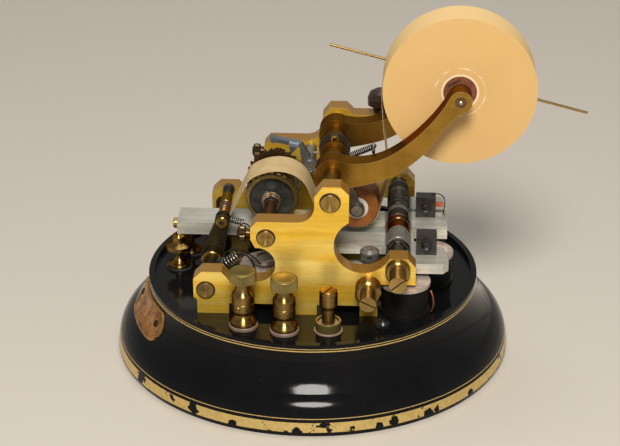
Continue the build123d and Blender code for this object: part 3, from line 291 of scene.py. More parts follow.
# the finishes of turned and flat metal, a row each
# the levers are darker round the right shaft; its centre and radius are in mm
leverHub = {"centre": (47.5, 69.3), "radius": 7.6, "colour": (0.15, 0.14, 0.12)}
metals = {
    # colour, shade, metallic, roughness clean and dull, waves of grain per metre along X, Y and Z,
    # patches per metre, bump, colour and reach of the worn edges, then the axis it was turned on
    "turnedBrass": (
        (0.46, 0.31, 0.1), (0.24, 0.145, 0.045), 1.0, (0.22, 0.42), (60, 60, 900), 70, 0.08, (0.72, 0.54, 0.26),
        0.0005,
    ),
    "goldenBracket": (
        (0.35, 0.195, 0.032), (0.2, 0.1, 0.017), 0.95, (0.24, 0.4), (90, 500, 90), 40, 0.08, (0.6, 0.4, 0.17),
        0.0007,
    ),
    "polishedSteel": (
        (0.52, 0.51, 0.45), (0.2, 0.195, 0.17), 0.85, (0.2, 0.38), (20, 500, 500), 50, 0.06, (0.72, 0.72, 0.68),
        0.0005,
    ),
    "darkSteel": (
        (0.16, 0.14, 0.13), (0.07, 0.06, 0.06), 0.9, (0.25, 0.45), (120, 500, 120), 60, 0.08,
        (0.42, 0.38, 0.34), 0.0006,
    ),
    "softIron": (
        (0.52, 0.5, 0.47), (0.3, 0.27, 0.24), 1.0, (0.26, 0.46), (150, 150, 150), 80, 0.08, (0.7, 0.68, 0.64),
        0.0005,
    ),
    "brownBrass": (
        (0.25, 0.135, 0.055), (0.1, 0.05, 0.022), 0.9, (0.24, 0.42), (90, 90, 500), 90, 0.08,
        (0.62, 0.36, 0.18), 0.0005,
    ),
    "oliveBrass": (
        (0.27, 0.205, 0.06), (0.15, 0.11, 0.035), 0.75, (0.32, 0.48), (70, 70, 1200), 90, 0.08,
        (0.46, 0.36, 0.17), 0.0004,
    ),
    "postBrass": (
        (0.31, 0.2, 0.062), (0.15, 0.085, 0.026), 1.0, (0.25, 0.38), (60, 60, 900), 60, 0.3, (0.56, 0.38, 0.14),
        0.0004, (0, 0, 1),
    ),
    "nutBrass": (
        (0.42, 0.285, 0.095), (0.2, 0.12, 0.036), 1.0, (0.28, 0.4), (60, 900, 60), 60, 0.2, (0.62, 0.44, 0.18),
        0.0004, (0, 1, 0),
    ),
    "leverSteel": (
        (0.72, 0.71, 0.62), (0.32, 0.31, 0.265), 0.55, (0.22, 0.4), (20, 500, 500), 45, 0.06, (0.74, 0.74, 0.7),
        0.0005, None, leverHub,
    ),
    "bronzeArm": (
        (0.115, 0.092, 0.046), (0.055, 0.042, 0.022), 0.9, (0.26, 0.42), (90, 90, 500), 80, 0.1,
        (0.34, 0.28, 0.13), 0.0006,
    ),
    "redBronze": (
        (0.36, 0.17, 0.05), (0.15, 0.06, 0.02), 1.0, (0.2, 0.34), (60, 900, 60), 90, 0.06, (0.52, 0.3, 0.12),
        0.0004,
    ),
    "shaftSteel": (
        (0.23, 0.215, 0.185), (0.085, 0.075, 0.06), 1.0, (0.24, 0.36), (60, 900, 60), 70, 0.06,
        (0.46, 0.44, 0.38), 0.0004, (0, 1, 0),
    ),
    "softSteelWire": (
        (0.3, 0.28, 0.235), (0.13, 0.12, 0.1), 0.95, (0.2, 0.34), (400, 400, 400), 300, 0.05, (0.3, 0.28, 0.24),
        0.0002,
    ),
    "darkBronze": (
        (0.075, 0.05, 0.026), (0.035, 0.023, 0.014), 0.8, (0.22, 0.38), (300, 300, 300), 120, 0.06,
        (0.15, 0.085, 0.045), 0.0003,
    ),
    "faceBrass": (
        (0.3, 0.2, 0.065), (0.16, 0.095, 0.03), 0.85, (0.28, 0.42), (700, 60, 60), 120, 0.1, (0.5, 0.36, 0.15),
        0.0004, (0, 1, 0),
    ),
    "goldScrew": (
        (0.46, 0.3, 0.085), (0.22, 0.13, 0.036), 1.0, (0.26, 0.38), (500, 60, 60), 120, 0.06, (0.8, 0.6, 0.26),
        0.0004, (0, 1, 0),
    ),
    "blackWire": (
        (0.045, 0.04, 0.036), (0.02, 0.018, 0.016), 0.7, (0.28, 0.42), (400, 400, 400), 300, 0.06,
        (0.1, 0.09, 0.08), 0.0002,
    ),
    "tanWire": (
        (0.36, 0.25, 0.15), (0.15, 0.09, 0.05), 0.7, (0.3, 0.45), (400, 400, 400), 300, 0.06, (0.42, 0.3, 0.2),
        0.0002,
    ),
    "blueSteel": (
        (0.42, 0.46, 0.5), (0.22, 0.25, 0.29), 0.9, (0.26, 0.42), (60, 400, 60), 90, 0.06, (0.7, 0.72, 0.74),
        0.0004,
    ),
    "redCopper": (
        (0.36, 0.11, 0.05), (0.2, 0.05, 0.025), 0.8, (0.3, 0.5), (300, 300, 300), 200, 0.15, (0.7, 0.32, 0.18),
        0.0004,
    ),
}


def addLatheMarks(tree, shader, axis, amount):
    # stretches the glints along the axis a piece was turned on
    around = vectorNode(tree, "CROSS_PRODUCT", surfaceWay(tree), axis)
    safe = vectorNode(tree, "ADD", around, (0.001, 0.0007, 0.0003))  # keeps flat ends off a zero tangent
    tree.links.new(safe, shader.inputs["Tangent"])
    shader.inputs["Anisotropic"].default_value = amount
    shader.inputs["Anisotropic Rotation"].default_value = 0.25


metalWear = {"edgeTint": 0.55, "toneAmount": 0.42, "edgeAmount": 0.75, "hubAmount": 0.8, "latheMarks": 0.85}


def metalFinish(
    name, colour, shade, metallic, roughness, grain, patches, bump, edgeColour, edgeReach, turned=None, hub=None
):
    low, high = roughness
    finish, tree, shader = newFinish(name, colour, metallic, low)
    shader.inputs["Specular Tint"].default_value = (*[value * metalWear["edgeTint"] for value in colour], 1.0)
    lines = stretchedNoise(tree, grain)
    tone = plus(tree, rise(tree, lines, 0.38, 0.66), patchy(tree, patches, 0.40, 0.68, 4.0))
    tone = times(tree, tone, metalWear["toneAmount"])
    seen = blendColour(tree, tone, colour, shade)
    seen = layOver(tree, seen, edgeMask(tree, edgeReach, 0.015, 0.18), metalWear["edgeAmount"], edgeColour)
    if turned:
        addLatheMarks(tree, shader, turned, metalWear["latheMarks"])
    if hub:
        inside = mathNode(tree, "LESS_THAN", distanceFrom(tree, hub["centre"]), hub["radius"])
        seen = layOver(tree, seen, inside, metalWear["hubAmount"], hub["colour"])
    feed(tree, shader, seen, plus(tree, times(tree, tone, high - low), low))
    addBump(tree, shader, lines, bump, 0.00004)
    return finish


lacqueredBrass = {
    "colour": (0.94, 0.60, 0.055), "shade": (0.66, 0.36, 0.025), "toneAmount": 0.40,
    # painted sheen: pale streaks that stand in for reflections on the plates
    "paintedSheen": (1.0, 0.84, 0.30), "paintedSheenAmount": 0.50,
    "brown": (0.42, 0.23, 0.03), "brownAmount": 0.20,
    "spots": (0.12, 0.07, 0.03), "spotAmount": 0.7,
    "paintedEdgeShade": (0.30, 0.125, 0.014), "paintedEdgeShadeAmount": 0.85,  # painted dark reflection on the sawn and filed edges of the plates
    "metallic": 0.58, "grain": (18.0, 18.0, 420.0),
}


def plateBrassFinish():
    look = lacqueredBrass
    finish, tree, shader = newFinish("plateBrass", look["colour"], look["metallic"], 0.24)
    grain = stretchedNoise(tree, look["grain"])
    streaks = rise(tree, grain, 0.36, 0.68)
    clouds = rise(tree, stretchedNoise(tree, (8.0, 8.0, 60.0), 1.0, 3.0), 0.35, 0.65)
    tone = times(tree, plus(tree, streaks, clouds), look["toneAmount"])
    colour = blendColour(tree, tone, look["colour"], look["shade"])
    # long pale streaks of painted sheen, and brown streaks of old lacquer
    glare = rise(tree, stretchedNoise(tree, (9.0, 9.0, 75.0), 1.0, 4.0), 0.48, 0.64)
    brown = rise(tree, stretchedNoise(tree, (14.0, 14.0, 50.0), 1.0, 5.0), 0.54, 0.72)
    colour = layOver(tree, colour, glare, look["paintedSheenAmount"], look["paintedSheen"])
    colour = layOver(tree, colour, brown, look["brownAmount"], look["brown"])
    colour = layOver(tree, colour, patchy(tree, 900.0, 0.68, 0.73, 2.0), look["spotAmount"], look["spots"])
    # every face that is not front or back gets a painted dark reflection
    sawn = mathNode(tree, "SUBTRACT", 1.0, facingMask(tree, 1))
    colour = layOver(tree, colour, sawn, look["paintedEdgeShadeAmount"], look["paintedEdgeShade"])
    feed(tree, shader, colour, plus(tree, times(tree, tone, 0.18), 0.22))
    addBump(tree, shader, grain, 0.12, 0.00005)
    return finish


japan = {
    "black": (0.004, 0.004, 0.0045),
    "gold": (0.72, 0.53, 0.20),
    "dullGold": (0.42, 0.27, 0.08),
    "band": (2.6, 8.1),  # lowest and highest edge of the gold band, in mm
    "lines": [(9.9, 10.3), (40.1, 40.7), (41.5, 41.9)],
    "skirtRadius": 91.5,
    "goldMetallic": 0.75,
    "dust": (0.07, 0.06, 0.055),
    "dustAmount": 0.05,
    "scuffAmount": 0.22,
    # worn patches on the band: place and reach, in mm
    "patches": [
        ((-59.8, -93.0, 6.4), 3.6), ((-38.0, -104.0, 3.4), 2.2), ((40.0, -103.5, 3.0), 2.6),
        ((47.5, -100.5, 4.6), 3.2), ((66.0, -89.5, 3.2), 3.4), ((70.5, -86.0, 4.2), 2.4),
        ((-4.0, -111.0, 3.2), 2.2), ((88.0, -66.0, 3.0), 2.4),
    ],
}


def japanFinish():
    finish, tree, shader = newFinish("blackJapan", japan["black"], 0.0, 0.10)
    shader.inputs["IOR"].default_value = 1.22
    place = spotIn(tree)
    wander = times(tree, mathNode(tree, "SUBTRACT", evenNoise(tree, 60.0, 3.0), 0.5), 0.5)
    height = plus(tree, times(tree, heightIn(tree), 1000.0), wander)
    gold = None
    for low, high in [japan["band"], *japan["lines"]]:
        line = times(tree, mathNode(tree, "GREATER_THAN", height, low), mathNode(tree, "LESS_THAN", height, high))
        gold = line if gold is None else mathNode(tree, "MAXIMUM", gold, line)
    flat = vectorNode(tree, "MULTIPLY", place, (1000.0, 1000.0, 0.0))
    across = vectorNode(tree, "LENGTH", flat, result="Value")
    outside = mathNode(tree, "GREATER_THAN", across, japan["skirtRadius"])
    # chips, only down on the band
    chips = ramp(tree, evenNoise(tree, 95.0, 6.0, 0.65), [(0.585, 1.0), (0.60, 0.0)])
    for spot, reach in japan["patches"]:
        gap = vectorNode(tree, "DISTANCE", place, Vector(spot) * mm, "Value")
        ragged = times(tree, evenNoise(tree, 260.0, 4.0), reach * 2 * mm)
        chips = times(tree, chips, mathNode(tree, "GREATER_THAN", gap, ragged))
    onBand = mathNode(tree, "LESS_THAN", height, japan["band"][1] + 0.4)
    chips = mathNode(tree, "SUBTRACT", 1.0, times(tree, onBand, mathNode(tree, "SUBTRACT", 1.0, chips)))
    gold = times(tree, times(tree, gold, outside), chips)
    worn = ramp(tree, evenNoise(tree, 420.0, 4.0), [(0.30, 0.55), (0.60, 1.0)])
    goldTone = blendColour(tree, worn, japan["dullGold"], japan["gold"])
    # dust and fine scuffs on the black
    dust = times(tree, patchy(tree, 30.0, 0.45, 0.80, 8.0, 0.7), japan["dustAmount"])
    scuffs = times(tree, patchy(tree, 300.0, 0.66, 0.74, 5.0, 0.75), japan["scuffAmount"])
    dirt = plus(tree, dust, scuffs, True)
    black = blendColour(tree, dirt, japan["black"], japan["dust"])
    rough = plus(tree, plus(tree, times(tree, dirt, 0.5), 0.09), times(tree, gold, 0.25), True)
    feed(tree, shader, blendColour(tree, gold, black, goldTone), rough)
    tree.links.new(times(tree, gold, japan["goldMetallic"]), shader.inputs["Metallic"])
    addBump(tree, shader, evenNoise(tree, 45.0, 3.0), 0.10, 0.0002)
    addBump(tree, shader, chips, 0.25, 0.00005)
    return finish


paper = {
    "face": (0.62, 0.385, 0.14),
    "rings": (0.53, 0.31, 0.10), "ringAmount": 0.35,
    "clouds": (0.70, 0.47, 0.20), "cloudAmount": 0.30,
    "rim": (0.66, 0.45, 0.19),
    "scuffs": (0.92, 0.80, 0.58), "scuffAmount": 0.55,
    "scuffRings": [(13.6, 0.35), (9.6, 0.6)],  # radius and half width in mm; the first is broken up
    "axis": (79.0, 151.4),
}


def paperRollFinish():
    finish, tree, shader = newFinish("paperRoll", paper["face"], 0.0, 0.72)
    shader.inputs["Subsurface Weight"].default_value = 0.05
    shader.inputs["Subsurface Radius"].default_value = (0.002, 0.0012, 0.0006)
    radius = distanceFrom(tree, paper["axis"])
    rings = addNode(tree, "ShaderNodeTexNoise", {"noise_dimensions": "1D"}, {"Scale": 3.2, "Detail": 8.0})
    tree.links.new(radius, rings.inputs["W"])
    ringTone = rise(tree, rings.outputs["Fac"], 0.35, 0.70)
    face = blendColour(tree, times(tree, ringTone, paper["ringAmount"]), paper["face"], paper["rings"])
    face = layOver(tree, face, patchy(tree, 38.0, 0.35, 0.75, 5.0), paper["cloudAmount"], paper["clouds"])
    near, inner = [
        mathNode(tree, "LESS_THAN", mathNode(tree, "ABSOLUTE", mathNode(tree, "SUBTRACT", radius, at)), half)
        for at, half in paper["scuffRings"]
    ]
    scuff = mathNode(tree, "MAXIMUM", times(tree, near, patchy(tree, 160.0, 0.42, 0.62, 3.0)), inner)
    face = layOver(tree, face, scuff, paper["scuffAmount"], paper["scuffs"])
    feed(tree, shader, blendColour(tree, facingMask(tree, 1), paper["rim"], face))
    addBump(tree, shader, rings.outputs["Fac"], 0.35, 0.0002)
    addBump(tree, shader, evenNoise(tree, 700.0, 3.0), 0.10, 0.0001)
    return finish


def plainFinish(name, colour, shade, roughness, size, more):
    finish, tree, shader = newFinish(name, colour, more.get("metallic", 0.0), roughness)
    mottle = evenNoise(tree, size, 5.0)
    tone = rise(tree, mottle, 0.35, 0.70)
    seen = blendColour(tree, tone, colour, shade)
    if "below" in more:
        # another colour under a height in mm
        height, lowColour = more["below"]
        seen = blendColour(tree, mathNode(tree, "LESS_THAN", heightIn(tree), height * mm), seen, lowColour)
    feed(tree, shader, seen, plus(tree, times(tree, tone, 0.18), roughness))
    if "specular" in more:
        shader.inputs["Specular IOR Level"].default_value = more["specular"]
    addBump(tree, shader, mottle, 0.15, 0.0001)
    return finish


softs = {
    # colour, shade, roughness, mottles per metre, then what only some have
    "hardRubber": ((0.018, 0.016, 0.016), (0.045, 0.037, 0.032), 0.22, 240, {"specular": 0.25}),
    "fibre": ((0.36, 0.17, 0.09), (0.2, 0.09, 0.05), 0.5, 260, {}),
    "spoolCheek": (
        (0.52, 0.43, 0.37), (0.36, 0.27, 0.22), 0.34, 150,
        {"metallic": 0.35, "below": (50, (0.012, 0.01, 0.01))},
    ),
    "tapePaper": ((0.5, 0.365, 0.18), (0.4, 0.28, 0.12), 0.75, 120, {}),
    "brownKnob": ((0.022, 0.011, 0.008), (0.045, 0.022, 0.014), 0.16, 120, {"specular": 0.3}),
    "paleHub": ((0.72, 0.66, 0.58), (0.5, 0.43, 0.36), 0.35, 300, {}),
    "paleWasher": ((0.25, 0.175, 0.125), (0.16, 0.105, 0.07), 0.4, 300, {}),
    "blackScrew": ((0.008, 0.008, 0.009), (0.02, 0.018, 0.017), 0.18, 300, {"specular": 0.4}),
    "rollerFibre": ((0.27, 0.095, 0.02), (0.17, 0.052, 0.012), 0.42, 200, {"specular": 0.25}),
    "coreFibre": ((0.22, 0.065, 0.028), (0.12, 0.035, 0.016), 0.4, 260, {}),
    "redFibre": ((0.48, 0.12, 0.05), (0.3, 0.07, 0.03), 0.45, 320, {}),
    # painted shade for the wire holes, the core's slot and the rings round flush screw ends
    "darkRim": ((0.03, 0.018, 0.01), (0.075, 0.042, 0.02), 0.4, 400, {}),
    "printPad": ((0.1, 0.08, 0.07), (0.05, 0.04, 0.04), 0.7, 500, {}),
}


wheelLook = {
    "rim": (0.46, 0.38, 0.16),
    "rimShade": (0.20, 0.14, 0.06),
    "recess": (0.030, 0.032, 0.030),
    "recessShade": (0.085, 0.090, 0.080),
    "recessRadius": 12.35,
}


def wheelFinish():
    # olive brass rim and a darker recess, parted by the distance from the wheels' axis
    finish, tree, shader = newFinish("wheelBrass", wheelLook["rim"], 1.0, 0.34)
    x, z = middle("letter_wheel")[::2]
    inside = mathNode(tree, "LESS_THAN", distanceFrom(tree, (x, z)), wheelLook["recessRadius"])
    mottle = evenNoise(tree, 220.0, 5.0)
    tone = rise(tree, mottle, 0.35, 0.70)
    rim = blendColour(tree, tone, wheelLook["rim"], wheelLook["rimShade"])
    dark = blendColour(tree, tone, wheelLook["recess"], wheelLook["recessShade"])
    feed(tree, shader, blendColour(tree, inside, rim, dark), plus(tree, times(tree, tone, 0.2), 0.28))
    tree.links.new(mathNode(tree, "SUBTRACT", 1.0, times(tree, inside, 0.45)), shader.inputs["Metallic"])
    addBump(tree, shader, mottle, 0.12, 0.0001)
    return finish


plateLook = {
    "ground": (0.40, 0.165, 0.045),
    "bright": (0.78, 0.42, 0.11), "brightAmount": 0.55,
    "dark": (0.10, 0.035, 0.014), "darkAmount": 0.65,
    "rubbed": (0.86, 0.62, 0.22), "rubbedAmount": 0.8,
}


def wornPlateFinish():
    # etched copper brass, stained in the hollows and rubbed bright on its edges
    finish, tree, shader = newFinish("wornPlate", plateLook["ground"], 0.85, 0.42)
    pits = patchy(tree, 620.0, 0.42, 0.58, 4.0, 0.7)
    stain = patchy(tree, 120.0, 0.40, 0.62, 4.0)
    colour = layOver(tree, plateLook["ground"], pits, plateLook["brightAmount"], plateLook["bright"])
    colour = layOver(tree, colour, stain, plateLook["darkAmount"], plateLook["dark"])
    edges = edgeMask(tree, 0.0008, 0.02, 0.20)
    colour = layOver(tree, colour, edges, plateLook["rubbedAmount"], plateLook["rubbed"])
    feed(tree, shader, colour, plus(tree, times(tree, stain, 0.2), 0.34))
    addBump(tree, shader, pits, 0.55, 0.00012)
    return finish


winding = {
    "base": (0.02, 0.018, 0.02), "cover": (0.004, 0.0035, 0.004), "shellac": (0.016, 0.014, 0.014),
    "turns": 420.0,  # wire turns per metre
}


def windingFinish():
    # close turns of covered wire, with a thin shellac on them
    finish, tree, shader = newFinish("winding", winding["base"], 0.0, 0.32)
    shader.inputs["Specular IOR Level"].default_value = 0.14
    bands = {"Scale": winding["turns"], "Distortion": 0.4}
    wave = addNode(tree, "ShaderNodeTexWave", {"bands_direction": "Z"}, bands)
    tree.links.new(spotIn(tree), wave.inputs["Vector"])
    tone = rise(tree, wave.outputs["Fac"], 0.0, 1.0)
    feed(tree, shader, blendColour(tree, tone, winding["cover"], winding["shellac"]))
    addBump(tree, shader, wave.outputs["Fac"], 0.6, 0.0002)
    return finish


finishes = {name: metalFinish(name, *values) for name, values in metals.items()}
finishes.update({name: plainFinish(name, *values) for name, values in softs.items()})
finishes.update({
    "plateBrass": plateBrassFinish(), "blackJapan": japanFinish(), "paperRoll": paperRollFinish(),
    "winding": windingFinish(), "wheelBrass": wheelFinish(), "wornPlate": wornPlateFinish(),
})
print("finishes ready:", len(finishes))

# which finish each slot of the frame takes, and the nodes that differ from their slot
slotFinish = {
    "japanned_iron": "blackJapan", "plate_brass": "plateBrass", "turned_brass": "turnedBrass",
    "bracket_brass": "goldenBracket", "nameplate_brass": "wornPlate", "steel": "polishedSteel",
    "dark_steel": "darkSteel", "iron": "softIron", "ebonite": "hardRubber", "fibre": "fibre",
    "spool": "spoolCheek", "winding": "winding", "paper": "paperRoll", "knob_brown": "brownKnob",
}
nodeFinish = {
    "tapePaper": ["paper_tape"],
    "coreFibre": ["roll_core"],
    "rollerFibre": ["feed_roller"],
    "paleHub": ["feed_roller_hub"],
    "blackScrew": ["deck_plug"],
    "printPad": ["print_pad"],
    "softIron": ["feed_roller_pin", "reel_axle_fittings"],
    "leverSteel": ["print_lever", "type_lever", "shift_lever"],
    "shaftSteel": ["right_shaft", "right_shaft_collars"],
    "bronzeArm": ["tape_guide_arm", "rock_shaft"],
    "nutBrass": ["plate_screws", "plate_locknuts"],
    "postBrass": ["front_terminal_nut", "rear_terminal_nut"],
    "wheelBrass": ["letter_wheel", "figure_wheel"],
    "blueSteel": ["escapement_pawl"],
    "brownBrass": ["escapement_wheel"],
}
special = {name: finish for finish, names in nodeFinish.items() for name in names}
for name, thing in nodes.items():
    for slotPlace in thing.material_slots:
        base = slotPlace.material.name.split(".")[0] if slotPlace.material else ""
        slotPlace.material = finishes[special.get(name, slotFinish.get(base, "polishedSteel"))]


# builders for the small turned, wound and bent pieces; every length in mm, made in metres
def lay(foot, way):
    # a matrix whose Z runs along way from foot
    turnTo = Vector(way).to_track_quat("Z", "Y").to_matrix().to_4x4()
    return Matrix.Translation(Vector(foot) * mm) @ turnTo


def ringSpot(place, radius, angle, along):
    return place @ Vector((radius * cos(angle) * mm, radius * sin(angle) * mm, along * mm))


def onDeck(spot):
    return spot[0], spot[1], deckTop


def addPiece(name, data, finish, body, instead=()):
    piece = bpy.data.objects.new(name, data)
    bpy.context.collection.objects.link(piece)
    data.materials.append(finishes[finish])
    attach(piece, body)
    if instead:
        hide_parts(*instead)


def meshPiece(name, shape, finish, body, instead=(), crease=35.0):
    mesh = bpy.data.meshes.new(name)
    bmesh.ops.recalc_face_normals(shape, faces=shape.faces)
    shape.to_mesh(mesh)
    shape.free()
    for face in mesh.polygons:
        face.use_smooth = True
    mesh.set_sharp_from_angle(angle=radians(crease))
    addPiece(name, mesh, finish, body, instead)


def addTurned(shape, foot, way, outline, ribs=0, segments=64):
    # outline is (radius, distance along, rib depth); a first or last radius of 0 closes the end
    if ribs:
        segments = ribs * 4
    place = lay(foot, way)
    rings = []
    close = 0.3
    longRun = 3.5 * close
    held = [outline[0]]
    for before, after in zip(outline, outline[1:]):
        # long runs get a ring near each end, which keeps them flat under smooth shading
        run = math.hypot(after[0] - before[0], after[1] - before[1])
        if run > longRun and before[0] > 0 and after[0] > 0:
            for part in (close / run, 1 - close / run):
                depth = [before[2] if part < 0.5 else after[2]] if len(before) > 2 and len(after) > 2 else []
                held.append(tuple(a + (b - a) * part for a, b in zip(before[:2], after[:2])) + tuple(depth))
        held.append(after)
    for radius, along, *depth in held:
        if radius <= 0:
            rings.append([shape.verts.new(place @ Vector((0, 0, along * mm)))])
            continue
        ring = []
        for step in range(segments):
            angle = 2 * pi * step / segments
            reach = radius
            if ribs and depth:
                reach -= depth[0] * (0.5 - 0.5 * cos(angle * ribs))
            ring.append(shape.verts.new(ringSpot(place, reach, angle, along)))
        rings.append(ring)
    for low, high in zip(rings, rings[1:]):
        count = max(len(low), len(high))
        for step in range(count):
            after = (step + 1) % count
            places = ((low, step), (low, after), (high, after), (high, step))
            unique = list(dict.fromkeys(ring[at % len(ring)] for ring, at in places))
            if len(unique) > 2:
                shape.faces.new(unique)


def turnedPiece(name, foot, way, outline, finish, body, ribs=0, instead=()):
    shape = bmesh.new()
    addTurned(shape, foot, way, outline, ribs)
    meshPiece(name, shape, finish, body, instead)


def shaftPiece(name, axis, start, outline, finish, body, way=1, instead=()):
    # turned on an axis that runs front to back, from y = start
    turnedPiece(name, (axis[0], start, axis[2]), (0, way, 0), outline, finish, body, 0, instead)


def wirePiece(name, points, radius, finish, body, instead=()):
    # a bent wire through a smooth curve
    curve = bpy.data.curves.new(name, "CURVE")
    curve.dimensions = "3D"
    curve.bevel_depth = radius * mm
    curve.bevel_resolution = 3
    curve.use_fill_caps = True
    spline = curve.splines.new("NURBS")
    spline.points.add(len(points) - 1)
    for spot, point in zip(spline.points, points):
        spot.co = (point[0] * mm, point[1] * mm, point[2] * mm, 1.0)
    spline.order_u = 4 if len(points) > 3 else len(points)
    spline.use_endpoint_u = True
    spline.resolution_u = 6
    addPiece(name, curve, finish, body, instead)


def coilPoints(foot, way, radius, length, turns, perTurn=10):
    # points along a spring that winds along way from foot
    place = lay(foot, way)
    points = []
    count = int(turns * perTurn)
    for step in range(count + 1):
        part = step / count
        angle = 2 * pi * turns * part
        points.append(tuple(value / mm for value in ringSpot(place, radius, angle, length * part)))
    return points


def barPiece(name, foot, way, size, finish, body, bevel):
    # a small flat bar lying along way from foot, with softened edges; size is (wide, deep, long)
    shape = bmesh.new()
    place = lay(foot, way)
    wide, deep, long = size
    bmesh.ops.create_cube(shape, size=1.0)
    for corner in shape.verts:
        x, y, z = corner.co
        corner.co = place @ Vector((x * wide * mm, y * deep * mm, (z + 0.5) * long * mm))
    bmesh.ops.bevel(shape, geom=shape.edges[:], offset=bevel * mm, segments=2, affect="EDGES", profile=0.7)
    meshPiece(name, shape, finish, body)


# the axes and levels that the small pieces share, in mm
deckTop = 41.2
up = (0, 0, 1)
typeAxis = middle("letter_wheel")
leftAxis = middle("rock_shaft")
rightAxis = middle("right_shaft")
crossAxis = middle("cross_shaft")
guideAxis = middle("tape_guide_tube")
reelAxis = middle("roll_core")
plateFront = spans("front_plate")[0][1]
plateBack = spans("front_plate")[1][1]

slotHead = {"radius": 4.6, "tall": 1.1, "slotWide": 1.0, "slotDeep": 0.8, "soft": 0.25, "turned": 60.0}


def halfDisc(shape, place, side, steps=28):
    # one side of a slotted screw head
    radius, gap, soft = slotHead["radius"], slotHead["slotWide"] / 2, slotHead["soft"]
    start = math.atan2(gap, sqrt(radius * radius - gap * gap))
    angles = [start + (pi - 2 * start) * step / steps for step in range(steps + 1)]
    points = [(radius * cos(angle), radius * sin(angle) * side) for angle in angles]
    rings = []
    for k, z in [(1.0, 0.0), (1.0, slotHead["tall"] - soft), (1.0 - soft / radius, slotHead["tall"])]:
        spots = [(x * k, y * k if abs(y) > gap + 0.01 else y, z) for x, y in points]
        rings.append([shape.verts.new(place @ Vector([value * mm for value in spot])) for spot in spots])
    for lower, upper in zip(rings, rings[1:]):
        for step in range(len(points)):
            after = (step + 1) % len(points)
            shape.faces.new((lower[step], lower[after], upper[after], upper[step]))
    shape.faces.new(rings[-1])


def slottedHead(name, foot, finish, body):
    shape = bmesh.new()
    place = lay(foot, up) @ Matrix.Rotation(radians(slotHead["turned"]), 4, "Z")
    slotFloor = Matrix.Translation((0, 0, max(0.05, slotHead["tall"] - slotHead["slotDeep"]) * mm))
    bmesh.ops.create_circle(
        shape, cap_ends=True, segments=56, radius=slotHead["radius"] * mm * 0.99, matrix=place @ slotFloor
    )
    for side in (-1, 1):
        halfDisc(shape, place, side)
    meshPiece(name, shape, finish, body)


# binding posts and terminals: heights are above the deck
posts = {
    "washer": (7.75, 2.0),
    "barrel": [
        (0, 2.0), (6.9, 2.0), (7.2, 2.3), (7.2, 3.1), (6.9, 3.8), (6.3, 4.8), (5.4, 5.9), (4.7, 6.9), (4.4, 7.8),
        (4.4, 8.3), (4.75, 8.9), (5.5, 9.5), (5.95, 9.9), (6.05, 10.4), (6.05, 14.6), (5.9, 14.75), (5.9, 15.0),
        (6.05, 15.15), (6.05, 19.0), (5.85, 19.6), (5.2, 20.4), (4.5, 21.4), (4.0, 22.8), (3.8, 24.4),
    ],
    "cup": [
        (2.0, 1.0), (6.6, 1.0), (6.84, 1.3), (6.84, 5.9), (6.6, 6.3), (6.0, 6.3), (5.7, 6.0), (5.6, 4.2),
        (3.0, 4.2),
    ],
    "stud": [
        (0, 3.0), (3.43, 3.0), (3.43, 13.2), (3.7, 13.6), (4.7, 15.2), (4.85, 15.6), (4.85, 22.6), (4.7, 23.2),
        (0, 23.2),
    ],
    "terminal": [
        (0, 1.0), (6.3, 1.0), (6.6, 1.3), (6.6, 2.2), (6.2, 2.6), (4.4, 3.5), (3.2, 4.6), (2.5, 5.8), (2.2, 7.0),
        (2.2, 9.2), (3.4, 9.5), (3.4, 10.2), (1.9, 10.3), (1.9, 19.4), (1.6, 19.8), (0, 19.9),
    ],
    "headTops": (33.3, 31.9),
}
thumbSpots = [middle("left_post_thumbscrew"), middle("right_post_thumbscrew")]
terminalSpots = [middle("front_terminal_nut"), middle("rear_terminal_nut")]
studSpot = (11.3, -69.3)
shape = bmesh.new()
for spot, top in zip(thumbSpots, posts["headTops"]):
    outline = posts["barrel"] + [(3.8, top - 8.0), (0, top - 8.0)]
    addTurned(shape, onDeck(spot), up, outline)
addTurned(shape, onDeck(studSpot), up, posts["stud"])
for spot in terminalSpots:
    addTurned(shape, onDeck(spot), up, posts["terminal"])
meshPiece("bindingPosts", shape, "postBrass", "frame", ("binding_posts",))
shape = bmesh.new()
addTurned(shape, onDeck(studSpot), up, posts["cup"])
meshPiece("studCup", shape, "oliveBrass", "frame")
slottedHead("studPostTop", (*studSpot, deckTop + 23.1), "postBrass", "frame")
shape = bmesh.new()
washerR, washerTall = posts["washer"]
for spot in [*thumbSpots, (*studSpot, 0)]:
    tall = washerTall if spot[1] != studSpot[1] else 1.0
    outline = [
        (2.0, 0), (washerR - 0.2, 0), (washerR, 0.25), (washerR, tall - 0.35), (washerR - 0.3, tall), (2.0, tall),
    ]
    addTurned(shape, onDeck(spot), up, outline)
addTurned(
    shape, onDeck(studSpot), up, [(3.5, 4.25), (5.5, 4.25), (5.5, 4.9), (5.2, 5.1), (3.6, 5.1), (3.5, 4.9)]
)
meshPiece("postWashers", shape, "paleWasher", "frame", ("post_insulators",))
shape = bmesh.new()
for spot in terminalSpots:
    addTurned(shape, onDeck(spot), up, [(2.0, 0), (7.3, 0), (7.3, 0.7), (7.1, 1.0), (2.0, 1.0)])
meshPiece("terminalWashers", shape, "hardRubber", "frame")
# wire holes in the two posts: a dark disc of painted shade at each mouth, with a brass lip
for side, spot, turn in (("left", thumbSpots[0], -118.0), ("right", thumbSpots[1], -100.0)):
    way = Vector((cos(radians(turn)), sin(radians(turn)), 0))
    foot = Vector((spot[0], spot[1], deckTop + 12.2)) + way * 5.6
    hole, lip = [(0, 0.36), (1.15, 0.36), (1.2, 0.3)], [(1.15, 0.2), (1.25, 0.55), (1.55, 0.55), (1.75, 0.3)]
    turnedPiece(side + "WireHole", foot, way, hole, "darkRim", "frame")
    turnedPiece(side + "WireHoleLip", foot, way, lip, "postBrass", "frame")

# knurled thumbscrews over the two front posts
thumbs = {"ribs": 56, "ribDepth": 0.28, "headRadius": 7.3}

